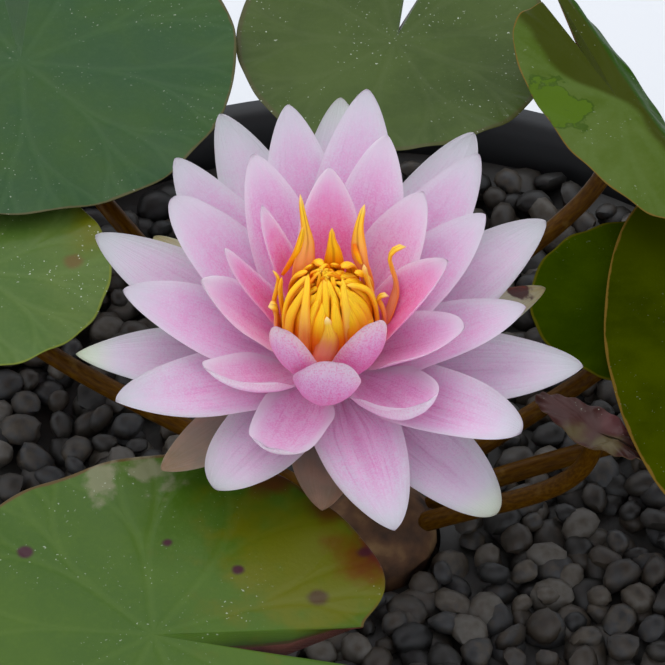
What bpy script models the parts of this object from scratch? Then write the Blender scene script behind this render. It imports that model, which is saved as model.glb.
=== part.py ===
"""A dwarf water lily in a pond basket: a plain round mesh basket filled with soil and dressed with gravel,
a rhizome with eight floating leaves on their stalks, and one open flower on its own stalk.

Units are metres and degrees. The origin is the middle of the basket's flat floor, +Z is up, and the flower
leans a little towards -Y, the side that it is looked at from.
"""

import math
from typing import NamedTuple

import bmesh
import bpy
from mathutils import Matrix, Vector, noise

MM = 0.001

# Basket
BASKET_HEIGHT = 125 * MM
BASKET_FLOOR_RADIUS = 97 * MM
BASKET_TOP_RADIUS = 119 * MM
BASKET_LIP_RADIUS = 125 * MM
BASKET_WALL = 2.5 * MM
BASKET_COLUMNS = 22
BASKET_ROWS = 4
SLOT_BOTTOM = 14 * MM
SLOT_HEIGHT = 20 * MM
HOOP_HEIGHT = 6 * MM
RIB_SHARE = 0.28
FILL_GAP = 1.2 * MM

# Soil and gravel
CONTACT_GAP = 0.3 * MM
SOIL_TOP = 104 * MM
GRAVEL_TOP = 117 * MM
GRAVEL_BUMP = 2.2 * MM
GRAVEL_BUMP_SPACING = 14 * MM
GRAVEL_HOLE_RADIUS = 15.5 * MM

# Rhizome, flower stalk and receptacle
CROWN_SIDES = 10
RHIZOME_HEIGHTS = (SOIL_TOP + CONTACT_GAP, 110 * MM, GRAVEL_TOP, 121 * MM, 124 * MM)
RHIZOME_RADII = (12 * MM, 14 * MM, 14 * MM, 11.8 * MM, 7.7 * MM)
FLOWER_STALK_RADIUS = 3.6 * MM
FLOWER_STALK_FOOT = 127 * MM
FLOWER_STALK_BEND = 22 * MM
FLOWER_STALK_STEPS = 6
FLOWER_BASE = Vector((-8 * MM, -14 * MM, 179 * MM))
FLOWER_LEAN = 6
RECEPTACLE_HEIGHTS = (-2.2 * MM, 0.2 * MM, 6.1 * MM, 9.8 * MM)
RECEPTACLE_RADII = (3.9 * MM, 5.2 * MM, 4.7 * MM, 4.3 * MM)

# Leaves
PAD_THICKNESS = 1.2 * MM
PAD_SPOKES = 16
PAD_RINGS = 3
NOTCH_HALF_ANGLE = 7
STALK_RADIUS = 2.0 * MM
STALK_START_RADIUS = 12.6 * MM
STALK_START_HEIGHT = 124 * MM
STALK_END_GAP = 0.7 * MM
STALK_CURVE_STEPS = 7
STALK_SPREAD = 0.35
STALK_LIFT = 0.45
STALK_UPRIGHT = 0.5

# Flower: each step up the receptacle is one LEVEL_STEP. Places on the dome run from -1 to 1.
LEVEL_STEP = 1.15 * MM
FIRST_LEVEL = 0.9 * MM
TOP_LEVEL = 8
BASE_RADIUS_LOW = 6.1 * MM
BASE_RADIUS_HIGH = 5.2 * MM
PETAL_THICKNESS = 0.9 * MM
SEPAL_THICKNESS = 1.2 * MM
PETAL_COLUMNS = 4
PETAL_ROWS = 7
PETAL_LINE_STEPS = 60
PETAL_BASE_WIDTH = 0.12
CLAW_WIDTH = 0.5
CLAW_LENGTH = 0.35
CUP_LENGTH = 0.5
CUP_OPENING = 0.35
SMALLEST_ARC = 0.02
BASE_THINNING = 0.75
THINNED_LENGTH = 0.3
STAMEN_DOME_RADIUS = 9.1 * MM
STAMEN_DOME_WAIST = 0.78
STAMEN_DOME_SHOULDER = 0.2
STAMEN_DOME_BOTTOM = 10.9 * MM
STAMEN_DOME_TOP = 31 * MM
TALL_ROOT_REACH = 0.5
TALL_ROOT_HEIGHT = 0.75


class Petal(NamedTuple):
    """One petal: where it starts, how it rises, and its outline. Lengths in mm, angles in degrees."""

    azimuth: float
    level: float
    rise: float
    curl: float
    length: float
    width: float
    cup: float = 30
    sway: float = 0
    point: float = 0.65
    peak: float = 1.0
    hook: float = 1.0
    claw: float = CLAW_LENGTH


class Pad(NamedTuple):
    """One floating leaf. Lengths in mm, angles in degrees, slopes as rise over run.

    The blade is longer by the factor stretch towards stretch_azimuth. Past the fold line, which lies
    fold_offset from the middle towards fold_azimuth, it is narrower by the factor fold_share and bent down
    by fold_angle. The stalk swings out by swing_x and swing_y before it meets the blade.
    """

    name: str
    x: float
    y: float
    height: float
    radius: float
    notch: float
    stalk_azimuth: float
    colour: tuple
    stretch: float = 1.0
    stretch_azimuth: float = 0
    slope_x: float = 0
    slope_y: float = 0
    rim_lift: float = 0.6
    wave: float = 0.6
    waves: int = 3
    fold_azimuth: float = 0
    fold_offset: float = 0
    fold_angle: float = 0
    fold_share: float = 1.0
    swing_x: float = 0
    swing_y: float = 0


SEPALS = [
    Petal(21, -0.4, 2, 10, 41, 13),
    Petal(139, -0.4, 2, 10, 42, 14),
    Petal(214, -0.4, -3, 4, 34, 14),
    Petal(267, -0.4, -7, 4, 25, 15),
]

OUTER_PETALS = [
    Petal(28, 2.0, 13, 12, 46.5, 19, sway=5),
    Petal(59, 0.8, 12, 12, 53, 19),
    Petal(88, 2.2, 14, 12, 52.5, 18),
    Petal(110, 0.8, 12, 14, 54, 18, sway=7),
    Petal(156, 2.0, 9, 14, 48.5, 18.5, sway=-5),
    Petal(181, 1.0, 4, 10, 45, 17, point=0.75),
    Petal(235, 0.6, 2, 14, 33.5, 19, cup=40, point=0.45),
    Petal(313, 0.4, -3, 8, 41, 19, point=0.5),
    Petal(353, 1.2, 6, 12, 45, 19),
]

SECOND_PETALS = [
    Petal(0, 3.4, 18, 18, 36.5, 16, cup=40, sway=4),
    Petal(32, 3.9, 30, 14, 38, 17, cup=40),
    Petal(50, 3.0, 20, 20, 46.5, 17.5),
    Petal(81, 4.7, 26, 19, 50, 18),
    Petal(101, 3.6, 23, 21, 48, 17),
    Petal(132, 2.6, 18, 23, 47, 17),
    Petal(144, 4.2, 26, 17, 40.5, 17, point=0.5),
    Petal(174, 3.5, 16, 16, 39, 18, cup=35, sway=-5),
    Petal(203, 2.8, 10, 14, 41.5, 17.5, cup=35),
    Petal(285, 2.6, 0, 10, 38, 18.5, sway=3, point=0.6, peak=0.8),
    Petal(325, 3.0, 10, 16, 41, 18, cup=40, point=0.5),
]

THIRD_PETALS = [
    Petal(49, 6.4, 39, 19, 33.5, 15),
    Petal(71, 5.6, 34, 24, 41.5, 16),
    Petal(118, 5.1, 34, 24, 39.5, 15),
    Petal(172, 6.2, 30, 26, 28, 14, cup=50),
    Petal(214, 5.4, 12, 54, 29, 12, cup=35, sway=-9, point=0.58, hook=1.4),
    Petal(246, 5.1, -6, 72, 28.8, 15, cup=45, sway=2, point=0.37, hook=1.9),
    Petal(312, 5.2, 9, 68, 29.5, 16.5, cup=38, point=0.66, hook=2),
    Petal(346, 6.4, 25, 25, 27, 15, cup=60, point=0.45),
]

INNER_PETALS = [
    Petal(11, 7.1, 43, 22, 30, 14.5, cup=60, sway=-3),
    Petal(91, 7.0, 50, 20, 34.5, 14),
    Petal(132, 8.0, 53, 14, 30, 6.5),
    Petal(158, 7.0, 42, 20, 28, 6.5),
    Petal(242, 8.0, 14, 101, 23.5, 13, cup=50, sway=-18, point=0.43, hook=0.9),
    Petal(262, 6.9, 0, 132, 27.7, 18, cup=66, sway=12, point=0.38, hook=1.2, claw=0.8),
    Petal(293, 8.0, 15, 104, 23.2, 13.2, cup=57, sway=22, point=0.43, hook=0.8),
]

# Tall stamens that stand clear of the dome: azimuth, reach from the flower's axis and height, mm
TALL_STAMENS = [
    (110, 17.9, 37),
    (89, 12.6, 31.5),
    (69, 18.1, 34),
    (34, 17.7, 29.5),
    (12, 11.8, 23.5),
    (159, 12.3, 29),
    (177, 12.3, 22.5),
]

PADS = [
    Pad("top_left", -76, 87, 170, 47.5, 95, 132, (0.09, 0.16, 0.06)),
    Pad("left", -82, 27, 166, 28, 175, 168, (0.12, 0.17, 0.05)),
    Pad("front_left", -42, -73, 170, 45, 354, 239, (0.11, 0.16, 0.05),
        stretch=1.05, stretch_azimuth=20, waves=4),
    Pad("top", 6, 97, 167, 35, 75, 108, (0.07, 0.10, 0.04)),
    Pad("top_right", 53.2, 66.1, 179, 17, 113.3, 84, (0.11, 0.17, 0.07),
        stretch=2.35, stretch_azimuth=113.3, rim_lift=1.0, waves=2,
        fold_azimuth=23.3, fold_offset=3, fold_angle=50, fold_share=0.5, swing_x=6, swing_y=-14),
    Pad("right", 90, 4, 170, 42, 350, 0, (0.06, 0.08, 0.02),
        stretch=1.55, stretch_azimuth=93, slope_x=0.08, slope_y=-0.04, rim_lift=1.5, wave=1.0),
    Pad("low", 57.5, 22, 162, 24, 8, 20, (0.03, 0.05, 0.01)),
    Pad("old", 45.6, -15.5, 164, 5.3, -39, 334, (0.16, 0.09, 0.07),
        stretch=2.8, stretch_azimuth=-39, rim_lift=1.2, wave=0.8),
]


def clear_scene():
    for obj in list(bpy.data.objects):
        bpy.data.objects.remove(obj, do_unlink=True)


def smoothstep(value):
    value = min(max(value, 0.0), 1.0)
    return value * value * (3 - 2 * value)


def material(name, colour, roughness):
    made = bpy.data.materials.new(name)
    made.use_nodes = True
    shader = made.node_tree.nodes["Principled BSDF"]
    shader.inputs["Base Color"].default_value = (*colour, 1)
    shader.inputs["Roughness"].default_value = roughness
    shader.inputs["Metallic"].default_value = 0
    return made


def as_object(form, name, colour, roughness):
    """Make a smooth-shaded object from a bmesh."""
    bmesh.ops.recalc_face_normals(form, faces=form.faces)
    mesh = bpy.data.meshes.new(name)
    form.to_mesh(mesh)
    form.free()
    mesh.shade_smooth()
    mesh.materials.append(material(name, colour, roughness))
    made = bpy.data.objects.new(name, mesh)
    bpy.context.scene.collection.objects.link(made)
    return made


def basket_radius(height):
    """Outer radius of the tapering wall at this height."""
    return BASKET_FLOOR_RADIUS + (BASKET_TOP_RADIUS - BASKET_FLOOR_RADIUS) * height / BASKET_HEIGHT


def fill_radius(height):
    """Radius that clears the flat stretches of the wall's inner side."""
    slot_half_angle = math.pi / BASKET_COLUMNS * (1 - RIB_SHARE)
    return (basket_radius(height) - BASKET_WALL) * math.cos(slot_half_angle) - FILL_GAP


def basket():
    """A sheet of ribs and hoops round open slots, closed by a floor and a lip, then thickened inwards."""
    form = bmesh.new()
    heights = [0]
    for row in range(BASKET_ROWS):
        low = SLOT_BOTTOM + row * (SLOT_HEIGHT + HOOP_HEIGHT)
        heights += [low, low + SLOT_HEIGHT]
    heights.append(BASKET_HEIGHT)
    slot_bands = [1 + 2 * row for row in range(BASKET_ROWS)]

    start = bmesh.ops.create_circle(form, cap_ends=False, radius=1, segments=2 * BASKET_COLUMNS)["verts"]
    pitch = 2 * math.pi / BASKET_COLUMNS
    for number, vert in enumerate(start):
        column, side = divmod(number, 2)
        angle = (column + (1 - RIB_SHARE / 2 if side else RIB_SHARE / 2)) * pitch
        vert.co = Vector((math.cos(angle), math.sin(angle), 0)) * BASKET_FLOOR_RADIUS
    edges = list({edge for vert in start for edge in vert.link_edges})
    floor = bmesh.ops.contextual_create(form, geom=edges)["faces"]
    bmesh.ops.poke(form, faces=floor)

    for band in range(len(heights) - 1):
        grown = bmesh.ops.extrude_edge_only(form, edges=edges)["geom"]
        verts = [item for item in grown if isinstance(item, bmesh.types.BMVert)]
        edges = [item for item in grown if isinstance(item, bmesh.types.BMEdge)]
        faces = [item for item in grown if isinstance(item, bmesh.types.BMFace)]
        radius = basket_radius(heights[band + 1])
        for vert in verts:
            flat = Vector((vert.co.x, vert.co.y, 0)).normalized() * radius
            vert.co = (flat.x, flat.y, heights[band + 1])
        if band in slot_bands:
            open_faces = [face for face in faces if face_spans_slot(face, pitch)]
            bmesh.ops.delete(form, geom=open_faces, context="FACES_ONLY")

    grown = bmesh.ops.extrude_edge_only(form, edges=edges)["geom"]
    for vert in [item for item in grown if isinstance(item, bmesh.types.BMVert)]:
        flat = Vector((vert.co.x, vert.co.y, 0)).normalized() * BASKET_LIP_RADIUS
        vert.co = (flat.x, flat.y, BASKET_HEIGHT)
    made = as_object(form, "basket", (0.02, 0.02, 0.022), 0.55)
    # The faces of this open shell point into the basket, and the wall has to grow inwards
    made.data.flip_normals()
    thick = made.modifiers.new("wall", "SOLIDIFY")
    thick.thickness = BASKET_WALL
    thick.offset = -1
    thick.use_even_offset = True
    return made


def face_spans_slot(face, pitch):
    """True for the wide wall faces between two ribs."""
    middle = face.calc_center_median()
    turn = math.atan2(middle.y, middle.x) / pitch
    return abs(turn - round(turn)) > RIB_SHARE


def soil():
    form = bmesh.new()
    bottom = BASKET_WALL + CONTACT_GAP
    bmesh.ops.create_cone(
        form,
        cap_ends=True,
        segments=40,
        radius1=fill_radius(bottom),
        radius2=fill_radius(SOIL_TOP),
        depth=SOIL_TOP - bottom,
        matrix=Matrix.Translation((0, 0, (SOIL_TOP + bottom) / 2)),
    )
    return as_object(form, "soil", (0.03, 0.022, 0.015), 0.95)


def gravel():
    """A ring of grit between the crown and the wall, with an uneven top."""
    form = bmesh.new()
    bottom = SOIL_TOP + CONTACT_GAP
    outside = fill_radius(bottom)
    reach = outside - GRAVEL_HOLE_RADIUS
    profile = [(GRAVEL_HOLE_RADIUS, bottom), (GRAVEL_HOLE_RADIUS, GRAVEL_TOP)]
    profile += [(GRAVEL_HOLE_RADIUS + reach * share, GRAVEL_TOP) for share in (0.33, 0.67)]
    profile += [(outside, GRAVEL_TOP), (outside, bottom)]
    verts = [form.verts.new((radius, 0, height)) for radius, height in profile]
    edges = [form.edges.new((verts[i], verts[(i + 1) % len(verts)])) for i in range(len(verts))]
    bmesh.ops.spin(
        form, geom=verts + edges, cent=(0, 0, 0), axis=(0, 0, 1), angle=2 * math.pi, steps=30, use_merge=True
    )
    bmesh.ops.remove_doubles(form, verts=form.verts, dist=0.01 * MM)
    for vert in form.verts:
        if vert.co.z > GRAVEL_TOP - MM:
            vert.co.z += GRAVEL_BUMP * noise.noise(vert.co / GRAVEL_BUMP_SPACING)
    return as_object(form, "gravel", (0.05, 0.047, 0.042), 0.7)


def crown():
    """Rhizome lump, flower stalk and receptacle, as rings bridged along one bent line."""
    form = bmesh.new()
    up = Vector((0, 0, 1))
    lean = Matrix.Rotation(math.radians(FLOWER_LEAN), 3, "X") @ up
    stations = [(up * height, up, radius) for height, radius in zip(RHIZOME_HEIGHTS, RHIZOME_RADII)]
    foot = up * FLOWER_STALK_FOOT
    bend_low = foot + up * FLOWER_STALK_BEND
    bend_high = FLOWER_BASE - lean * FLOWER_STALK_BEND
    for step in range(FLOWER_STALK_STEPS):
        t = step / FLOWER_STALK_STEPS
        place = (
            foot * (1 - t) ** 3
            + bend_low * 3 * t * (1 - t) ** 2
            + bend_high * 3 * t * t * (1 - t)
            + FLOWER_BASE * t**3
        )
        stations.append((place, up.lerp(lean, t).normalized(), FLOWER_STALK_RADIUS))
    for height, radius in zip(RECEPTACLE_HEIGHTS, RECEPTACLE_RADII):
        stations.append((FLOWER_BASE + lean * height, lean, radius))

    rings = []
    for place, direction, radius in stations:
        turn = up.rotation_difference(direction).to_matrix().to_4x4()
        made = bmesh.ops.create_circle(
            form,
            cap_ends=False,
            radius=radius,
            segments=CROWN_SIDES,
            matrix=Matrix.Translation(place) @ turn,
        )
        rings.append(list({edge for vert in made["verts"] for edge in vert.link_edges}))
    for lower, upper in zip(rings, rings[1:]):
        bmesh.ops.bridge_loops(form, edges=lower + upper)
    bmesh.ops.contextual_create(form, geom=rings[0])
    bmesh.ops.contextual_create(form, geom=rings[-1])
    return as_object(form, "crown", (0.16, 0.09, 0.055), 0.7)


def pad_height(pad, across, along):
    """Height of a leaf above its own level at a point given in mm from its centre."""
    share = min(math.hypot(across, along) / pad.radius, 1)
    angle = math.atan2(along, across)
    height = across * pad.slope_x + along * pad.slope_y
    height += pad.rim_lift * share**4
    height += pad.wave * share**2 * math.sin(pad.waves * angle + pad.notch)
    return height


def folded(pad, point):
    """This point of a leaf, in mm from its centre, once the part past its fold line is bent down."""
    fold = math.radians(pad.fold_azimuth)
    bend = math.radians(pad.fold_angle)
    outward = Vector((math.cos(fold), math.sin(fold), 0))
    past_fold = max(point.dot(outward) - pad.fold_offset, 0)
    bent = math.cos(bend) * outward - Vector((0, 0, math.sin(bend)))
    return point + past_fold * (bent * pad.fold_share - outward)


def pad_blade(pad):
    """A round blade with a notch, as a fan of rings laid out from a flat grid, then thickened down."""
    form = bmesh.new()
    notch_half_angle = math.radians(NOTCH_HALF_ANGLE)
    long_way = math.radians(pad.stretch_azimuth)
    grid = bmesh.ops.create_grid(form, x_segments=PAD_SPOKES, y_segments=PAD_RINGS, size=1)["verts"]
    for vert in grid:
        turn = (vert.co.x + 1) / 2
        share = (vert.co.y + 1) / 2
        angle = math.radians(pad.notch) + notch_half_angle + turn * 2 * (math.pi - notch_half_angle)
        across = pad.radius * share * math.cos(angle)
        along = pad.radius * share * math.sin(angle)
        extra = (pad.stretch - 1) * (across * math.cos(long_way) + along * math.sin(long_way))
        across += extra * math.cos(long_way)
        along += extra * math.sin(long_way)
        vert.co = folded(pad, Vector((across, along, pad_height(pad, across, along)))) * MM
    bmesh.ops.remove_doubles(form, verts=form.verts, dist=0.01 * MM)
    bmesh.ops.recalc_face_normals(form, faces=form.faces)
    made = as_object(form, "pad_" + pad.name, pad.colour, 0.4)
    made.location = Vector((pad.x, pad.y, pad.height)) * MM
    thick = made.modifiers.new("thickness", "SOLIDIFY")
    thick.thickness = PAD_THICKNESS
    thick.offset = 0
    return made


def leaf_stalk(pad):
    """A bent round stalk from the crown's shoulder to just under the middle of the blade."""
    angle = math.radians(pad.stalk_azimuth)
    outward = Vector((math.cos(angle), math.sin(angle), 0))
    start = outward * STALK_START_RADIUS + Vector((0, 0, STALK_START_HEIGHT))
    end = Vector((pad.x, pad.y, pad.height + pad_height(pad, 0, 0))) * MM
    aside = Vector((pad.swing_x, pad.swing_y, 0)) * MM
    end.z -= PAD_THICKNESS / 2 + STALK_END_GAP + STALK_RADIUS * aside.length / (end.z - start.z)
    climb = Vector((0, 0, end.z - start.z))
    reach = (end - start).length

    line = bpy.data.curves.new("stalk_" + pad.name, "CURVE")
    line.dimensions = "3D"
    line.resolution_u = STALK_CURVE_STEPS
    line.bevel_depth = STALK_RADIUS
    line.bevel_resolution = 1
    line.use_fill_caps = True
    spline = line.splines.new("BEZIER")
    spline.bezier_points.add(1)
    first, last = spline.bezier_points
    for point in (first, last):
        point.handle_left_type = "FREE"
        point.handle_right_type = "FREE"
    first.co = start
    first.handle_left = start - outward * MM
    first.handle_right = start + outward * reach * STALK_SPREAD + climb * STALK_LIFT
    last.co = end
    last.handle_left = end + aside - climb * STALK_UPRIGHT
    last.handle_right = end + Vector((0, 0, MM))
    line.materials.append(material("stalk_" + pad.name, (0.18, 0.09, 0.06), 0.5))
    made = bpy.data.objects.new("stalk_" + pad.name, line)
    bpy.context.scene.collection.objects.link(made)
    return made


def petal_line(petal, t):
    """How far out and up the middle line has come at t, 0 at the base to 1 at the tip, and its slope."""
    out = up = 0.0
    stride = petal.length * t / PETAL_LINE_STEPS
    for step in range(PETAL_LINE_STEPS):
        middle = (step + 0.5) * t / PETAL_LINE_STEPS
        slope = math.radians(petal.rise + petal.curl * middle**petal.hook)
        out += math.cos(slope) * stride
        up += math.sin(slope) * stride
    return out, up, math.radians(petal.rise + petal.curl * t**petal.hook)


def petal_point(petal, thickness, x, t, side):
    """A point of the petal's upper (side 1) or under (side -1) surface in its own frame, +X outward, mm."""
    out, up, slope = petal_line(petal, t)
    claw = CLAW_WIDTH + (1 - CLAW_WIDTH) * smoothstep(t / petal.claw)
    along = PETAL_BASE_WIDTH + (1 - PETAL_BASE_WIDTH) * t**petal.peak
    half = petal.width / 2 * max(math.sin(math.pi * along), 0.0) ** petal.point * claw
    closing = math.sin(math.pi / 2 * min(t / CUP_LENGTH, 1)) * (1 - CUP_OPENING * t**3)
    arc = math.radians(petal.cup) * closing + SMALLEST_ARC
    across = half * math.sin(x * arc) / arc
    lift = half * (1 - math.cos(x * arc)) / arc
    thinning = BASE_THINNING + (1 - BASE_THINNING) * smoothstep(t / THINNED_LENGTH)
    lift += side * thickness / 2 * (1 - x * x) * thinning * (1 - t**3)
    across += petal.length * math.radians(petal.sway) * t * t / 2
    return out - lift * math.sin(slope), across, up + lift * math.cos(slope)


def petal_solid(petal, name, thickness, colour, flower):
    """A lens-section blade: two grids that share their outline and close to a point at the tip."""
    form = bmesh.new()
    upper = bmesh.ops.create_grid(form, x_segments=PETAL_COLUMNS, y_segments=PETAL_ROWS, size=1)["verts"]
    copied = bmesh.ops.duplicate(form, geom=form.faces[:] + form.edges[:] + form.verts[:])["geom"]
    lower = [item for item in copied if isinstance(item, bmesh.types.BMVert)]
    rise_share = (petal.level - 1) / (TOP_LEVEL - 1)
    base_radius = BASE_RADIUS_LOW + (BASE_RADIUS_HIGH - BASE_RADIUS_LOW) * rise_share
    base = Vector((base_radius, 0, FIRST_LEVEL + LEVEL_STEP * petal.level))
    for verts, side in ((upper, 1), (lower, -1)):
        for vert in verts:
            t = (vert.co.y + 1) / 2
            vert.co = base + Vector(petal_point(petal, thickness / MM, vert.co.x, t, side)) * MM
    bmesh.ops.remove_doubles(form, verts=form.verts, dist=0.001 * MM)
    bmesh.ops.holes_fill(form, edges=[edge for edge in form.edges if edge.is_boundary], sides=0)
    made = as_object(form, name, colour, 0.5)
    made.parent = flower
    made.rotation_euler.z = math.radians(petal.azimuth)
    return made


def stamens(flower):
    """A dome of incurved stamens with the tall outer ones pulled out of it as spikes."""
    form = bmesh.new()
    middle = (STAMEN_DOME_TOP + STAMEN_DOME_BOTTOM) / 2
    half_height = (STAMEN_DOME_TOP - STAMEN_DOME_BOTTOM) / 2
    verts = bmesh.ops.create_uvsphere(form, u_segments=16, v_segments=8, radius=1)["verts"]
    for vert in verts:
        rise_share = (vert.co.z + 1) / (STAMEN_DOME_SHOULDER + 1)
        narrowing = STAMEN_DOME_WAIST + (1 - STAMEN_DOME_WAIST) * smoothstep(rise_share)
        radius = STAMEN_DOME_RADIUS * narrowing
        vert.co = (vert.co.x * radius, vert.co.y * radius, middle + vert.co.z * half_height)
    for azimuth, reach, height in TALL_STAMENS:
        angle = math.radians(azimuth)
        tip = Vector((reach * math.cos(angle), reach * math.sin(angle), height)) * MM
        root = Vector((tip.x * TALL_ROOT_REACH, tip.y * TALL_ROOT_REACH, tip.z * TALL_ROOT_HEIGHT))
        nearest = min(form.verts, key=lambda vert: (vert.co - root).length)
        nearest.co = tip
    made = as_object(form, "stamens", (0.85, 0.42, 0.02), 0.5)
    made.parent = flower
    return made


def flower_empty():
    flower = bpy.data.objects.new("flower", None)
    bpy.context.scene.collection.objects.link(flower)
    flower.location = FLOWER_BASE
    flower.rotation_euler.x = math.radians(FLOWER_LEAN)
    return flower


def build():
    clear_scene()
    basket()
    soil()
    gravel()
    crown()
    for pad in PADS:
        pad_blade(pad)
        leaf_stalk(pad)
    flower = flower_empty()
    whorls = (
        ("sepal", SEPALS, SEPAL_THICKNESS, (0.38, 0.30, 0.16)),
        ("outer_petal", OUTER_PETALS, PETAL_THICKNESS, (0.80, 0.76, 0.80)),
        ("second_petal", SECOND_PETALS, PETAL_THICKNESS, (0.72, 0.52, 0.68)),
        ("third_petal", THIRD_PETALS, PETAL_THICKNESS, (0.70, 0.32, 0.55)),
        ("inner_petal", INNER_PETALS, PETAL_THICKNESS, (0.65, 0.15, 0.38)),
    )
    for word, petals, thickness, colour in whorls:
        for number, petal in enumerate(petals, 1):
            petal_solid(petal, f"{word}_{number}", thickness, colour, flower)
    stamens(flower)


build()
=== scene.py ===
"""Dwarf water lily in a pond basket: its looks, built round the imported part.

Lengths of the basket, the soil and the gravel are metres, and the sections on the plant give theirs in mm.
The basket stands on Z = 0, +Z is up, and the flower is looked at from -Y.
"""

import math

import bpy
import numpy as np
from mathutils import Matrix, Vector, noise


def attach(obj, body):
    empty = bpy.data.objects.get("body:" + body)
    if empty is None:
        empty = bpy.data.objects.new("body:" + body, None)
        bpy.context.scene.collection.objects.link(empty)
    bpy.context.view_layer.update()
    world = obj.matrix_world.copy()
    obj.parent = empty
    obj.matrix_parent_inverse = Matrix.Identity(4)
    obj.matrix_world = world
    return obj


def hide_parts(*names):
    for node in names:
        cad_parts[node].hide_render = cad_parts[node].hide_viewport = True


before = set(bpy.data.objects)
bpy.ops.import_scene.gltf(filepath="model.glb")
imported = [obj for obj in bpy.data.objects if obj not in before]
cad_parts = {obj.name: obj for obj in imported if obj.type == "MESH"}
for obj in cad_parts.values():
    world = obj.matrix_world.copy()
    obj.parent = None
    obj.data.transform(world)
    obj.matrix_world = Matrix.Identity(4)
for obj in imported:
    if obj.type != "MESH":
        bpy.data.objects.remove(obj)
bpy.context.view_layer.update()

MM = 0.001
WELD_DISTANCE = 0.002 * MM

# Basket
# A round pond basket moulded in one piece of black plastic: ribs and hoops that frame windows of fine mesh, a
# closed floor and a rolled lip. Frame and mesh are each cut from one sheet, which is then given its wall.

BASKET_HEIGHT = 125 * MM
FLOOR_RADIUS = 97 * MM
TOP_RADIUS = 119 * MM
COLUMNS = 22
ROWS = 4
SLOT_BOTTOM = 14 * MM
SLOT_HEIGHT = 20 * MM
HOOP_HEIGHT = 6 * MM
RIB_SHARE = 0.28
CELLS_ACROSS = 5
CELLS_UP = 4
FRAME_WALL = 2.5 * MM
MESH_WALL = 1.3 * MM
MESH_DEPTH = 0.5 * MM
STRAND_HALF_WIDTH = 0.6 * MM
EDGE_BEVEL = 0.4 * MM
SHARP_BEND = math.radians(50)
BASKET_CREASE = 35
WALL_FOOT = 2 * MM
WALL_SHOULDERS = [119 * MM, 123 * MM]

# Radius and height in mm along the lip and the floor
LIP_PROFILE = [(119.8, 124.6), (120.8, 125.0), (121.7, 124.8), (122.4, 124.0), (122.5, 120.5)]
FLOOR_PROFILE = [(0, 0), (35, 0), (70, 0), (94.5, 0), (96.3, 0.7)]

# A face nearer the axis than this share of the floor's radius is part of the floor
FLOOR_FACE_SHARE = 0.9

# Steps for in_edit_mode, each an operator and its settings
SELECT_ALL = (bpy.ops.mesh.select_all, {"action": "SELECT"})
SELECT_NONE = (bpy.ops.mesh.select_all, {"action": "DESELECT"})
DELETE_FACES = (bpy.ops.mesh.delete, {"type": "FACE"})
TURN_OUTWARDS = (bpy.ops.mesh.normals_make_consistent, {"inside": False})
TURN_INWARDS = (bpy.ops.mesh.normals_make_consistent, {"inside": True})


def srgb(red, green, blue):
    """A colour from 0 to 255 as it is seen, made linear."""
    parts = [value / 255 for value in (red, green, blue)]
    return (*(p / 12.92 if p < 0.04045 else ((p + 0.055) / 1.055) ** 2.4 for p in parts), 1)


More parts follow.
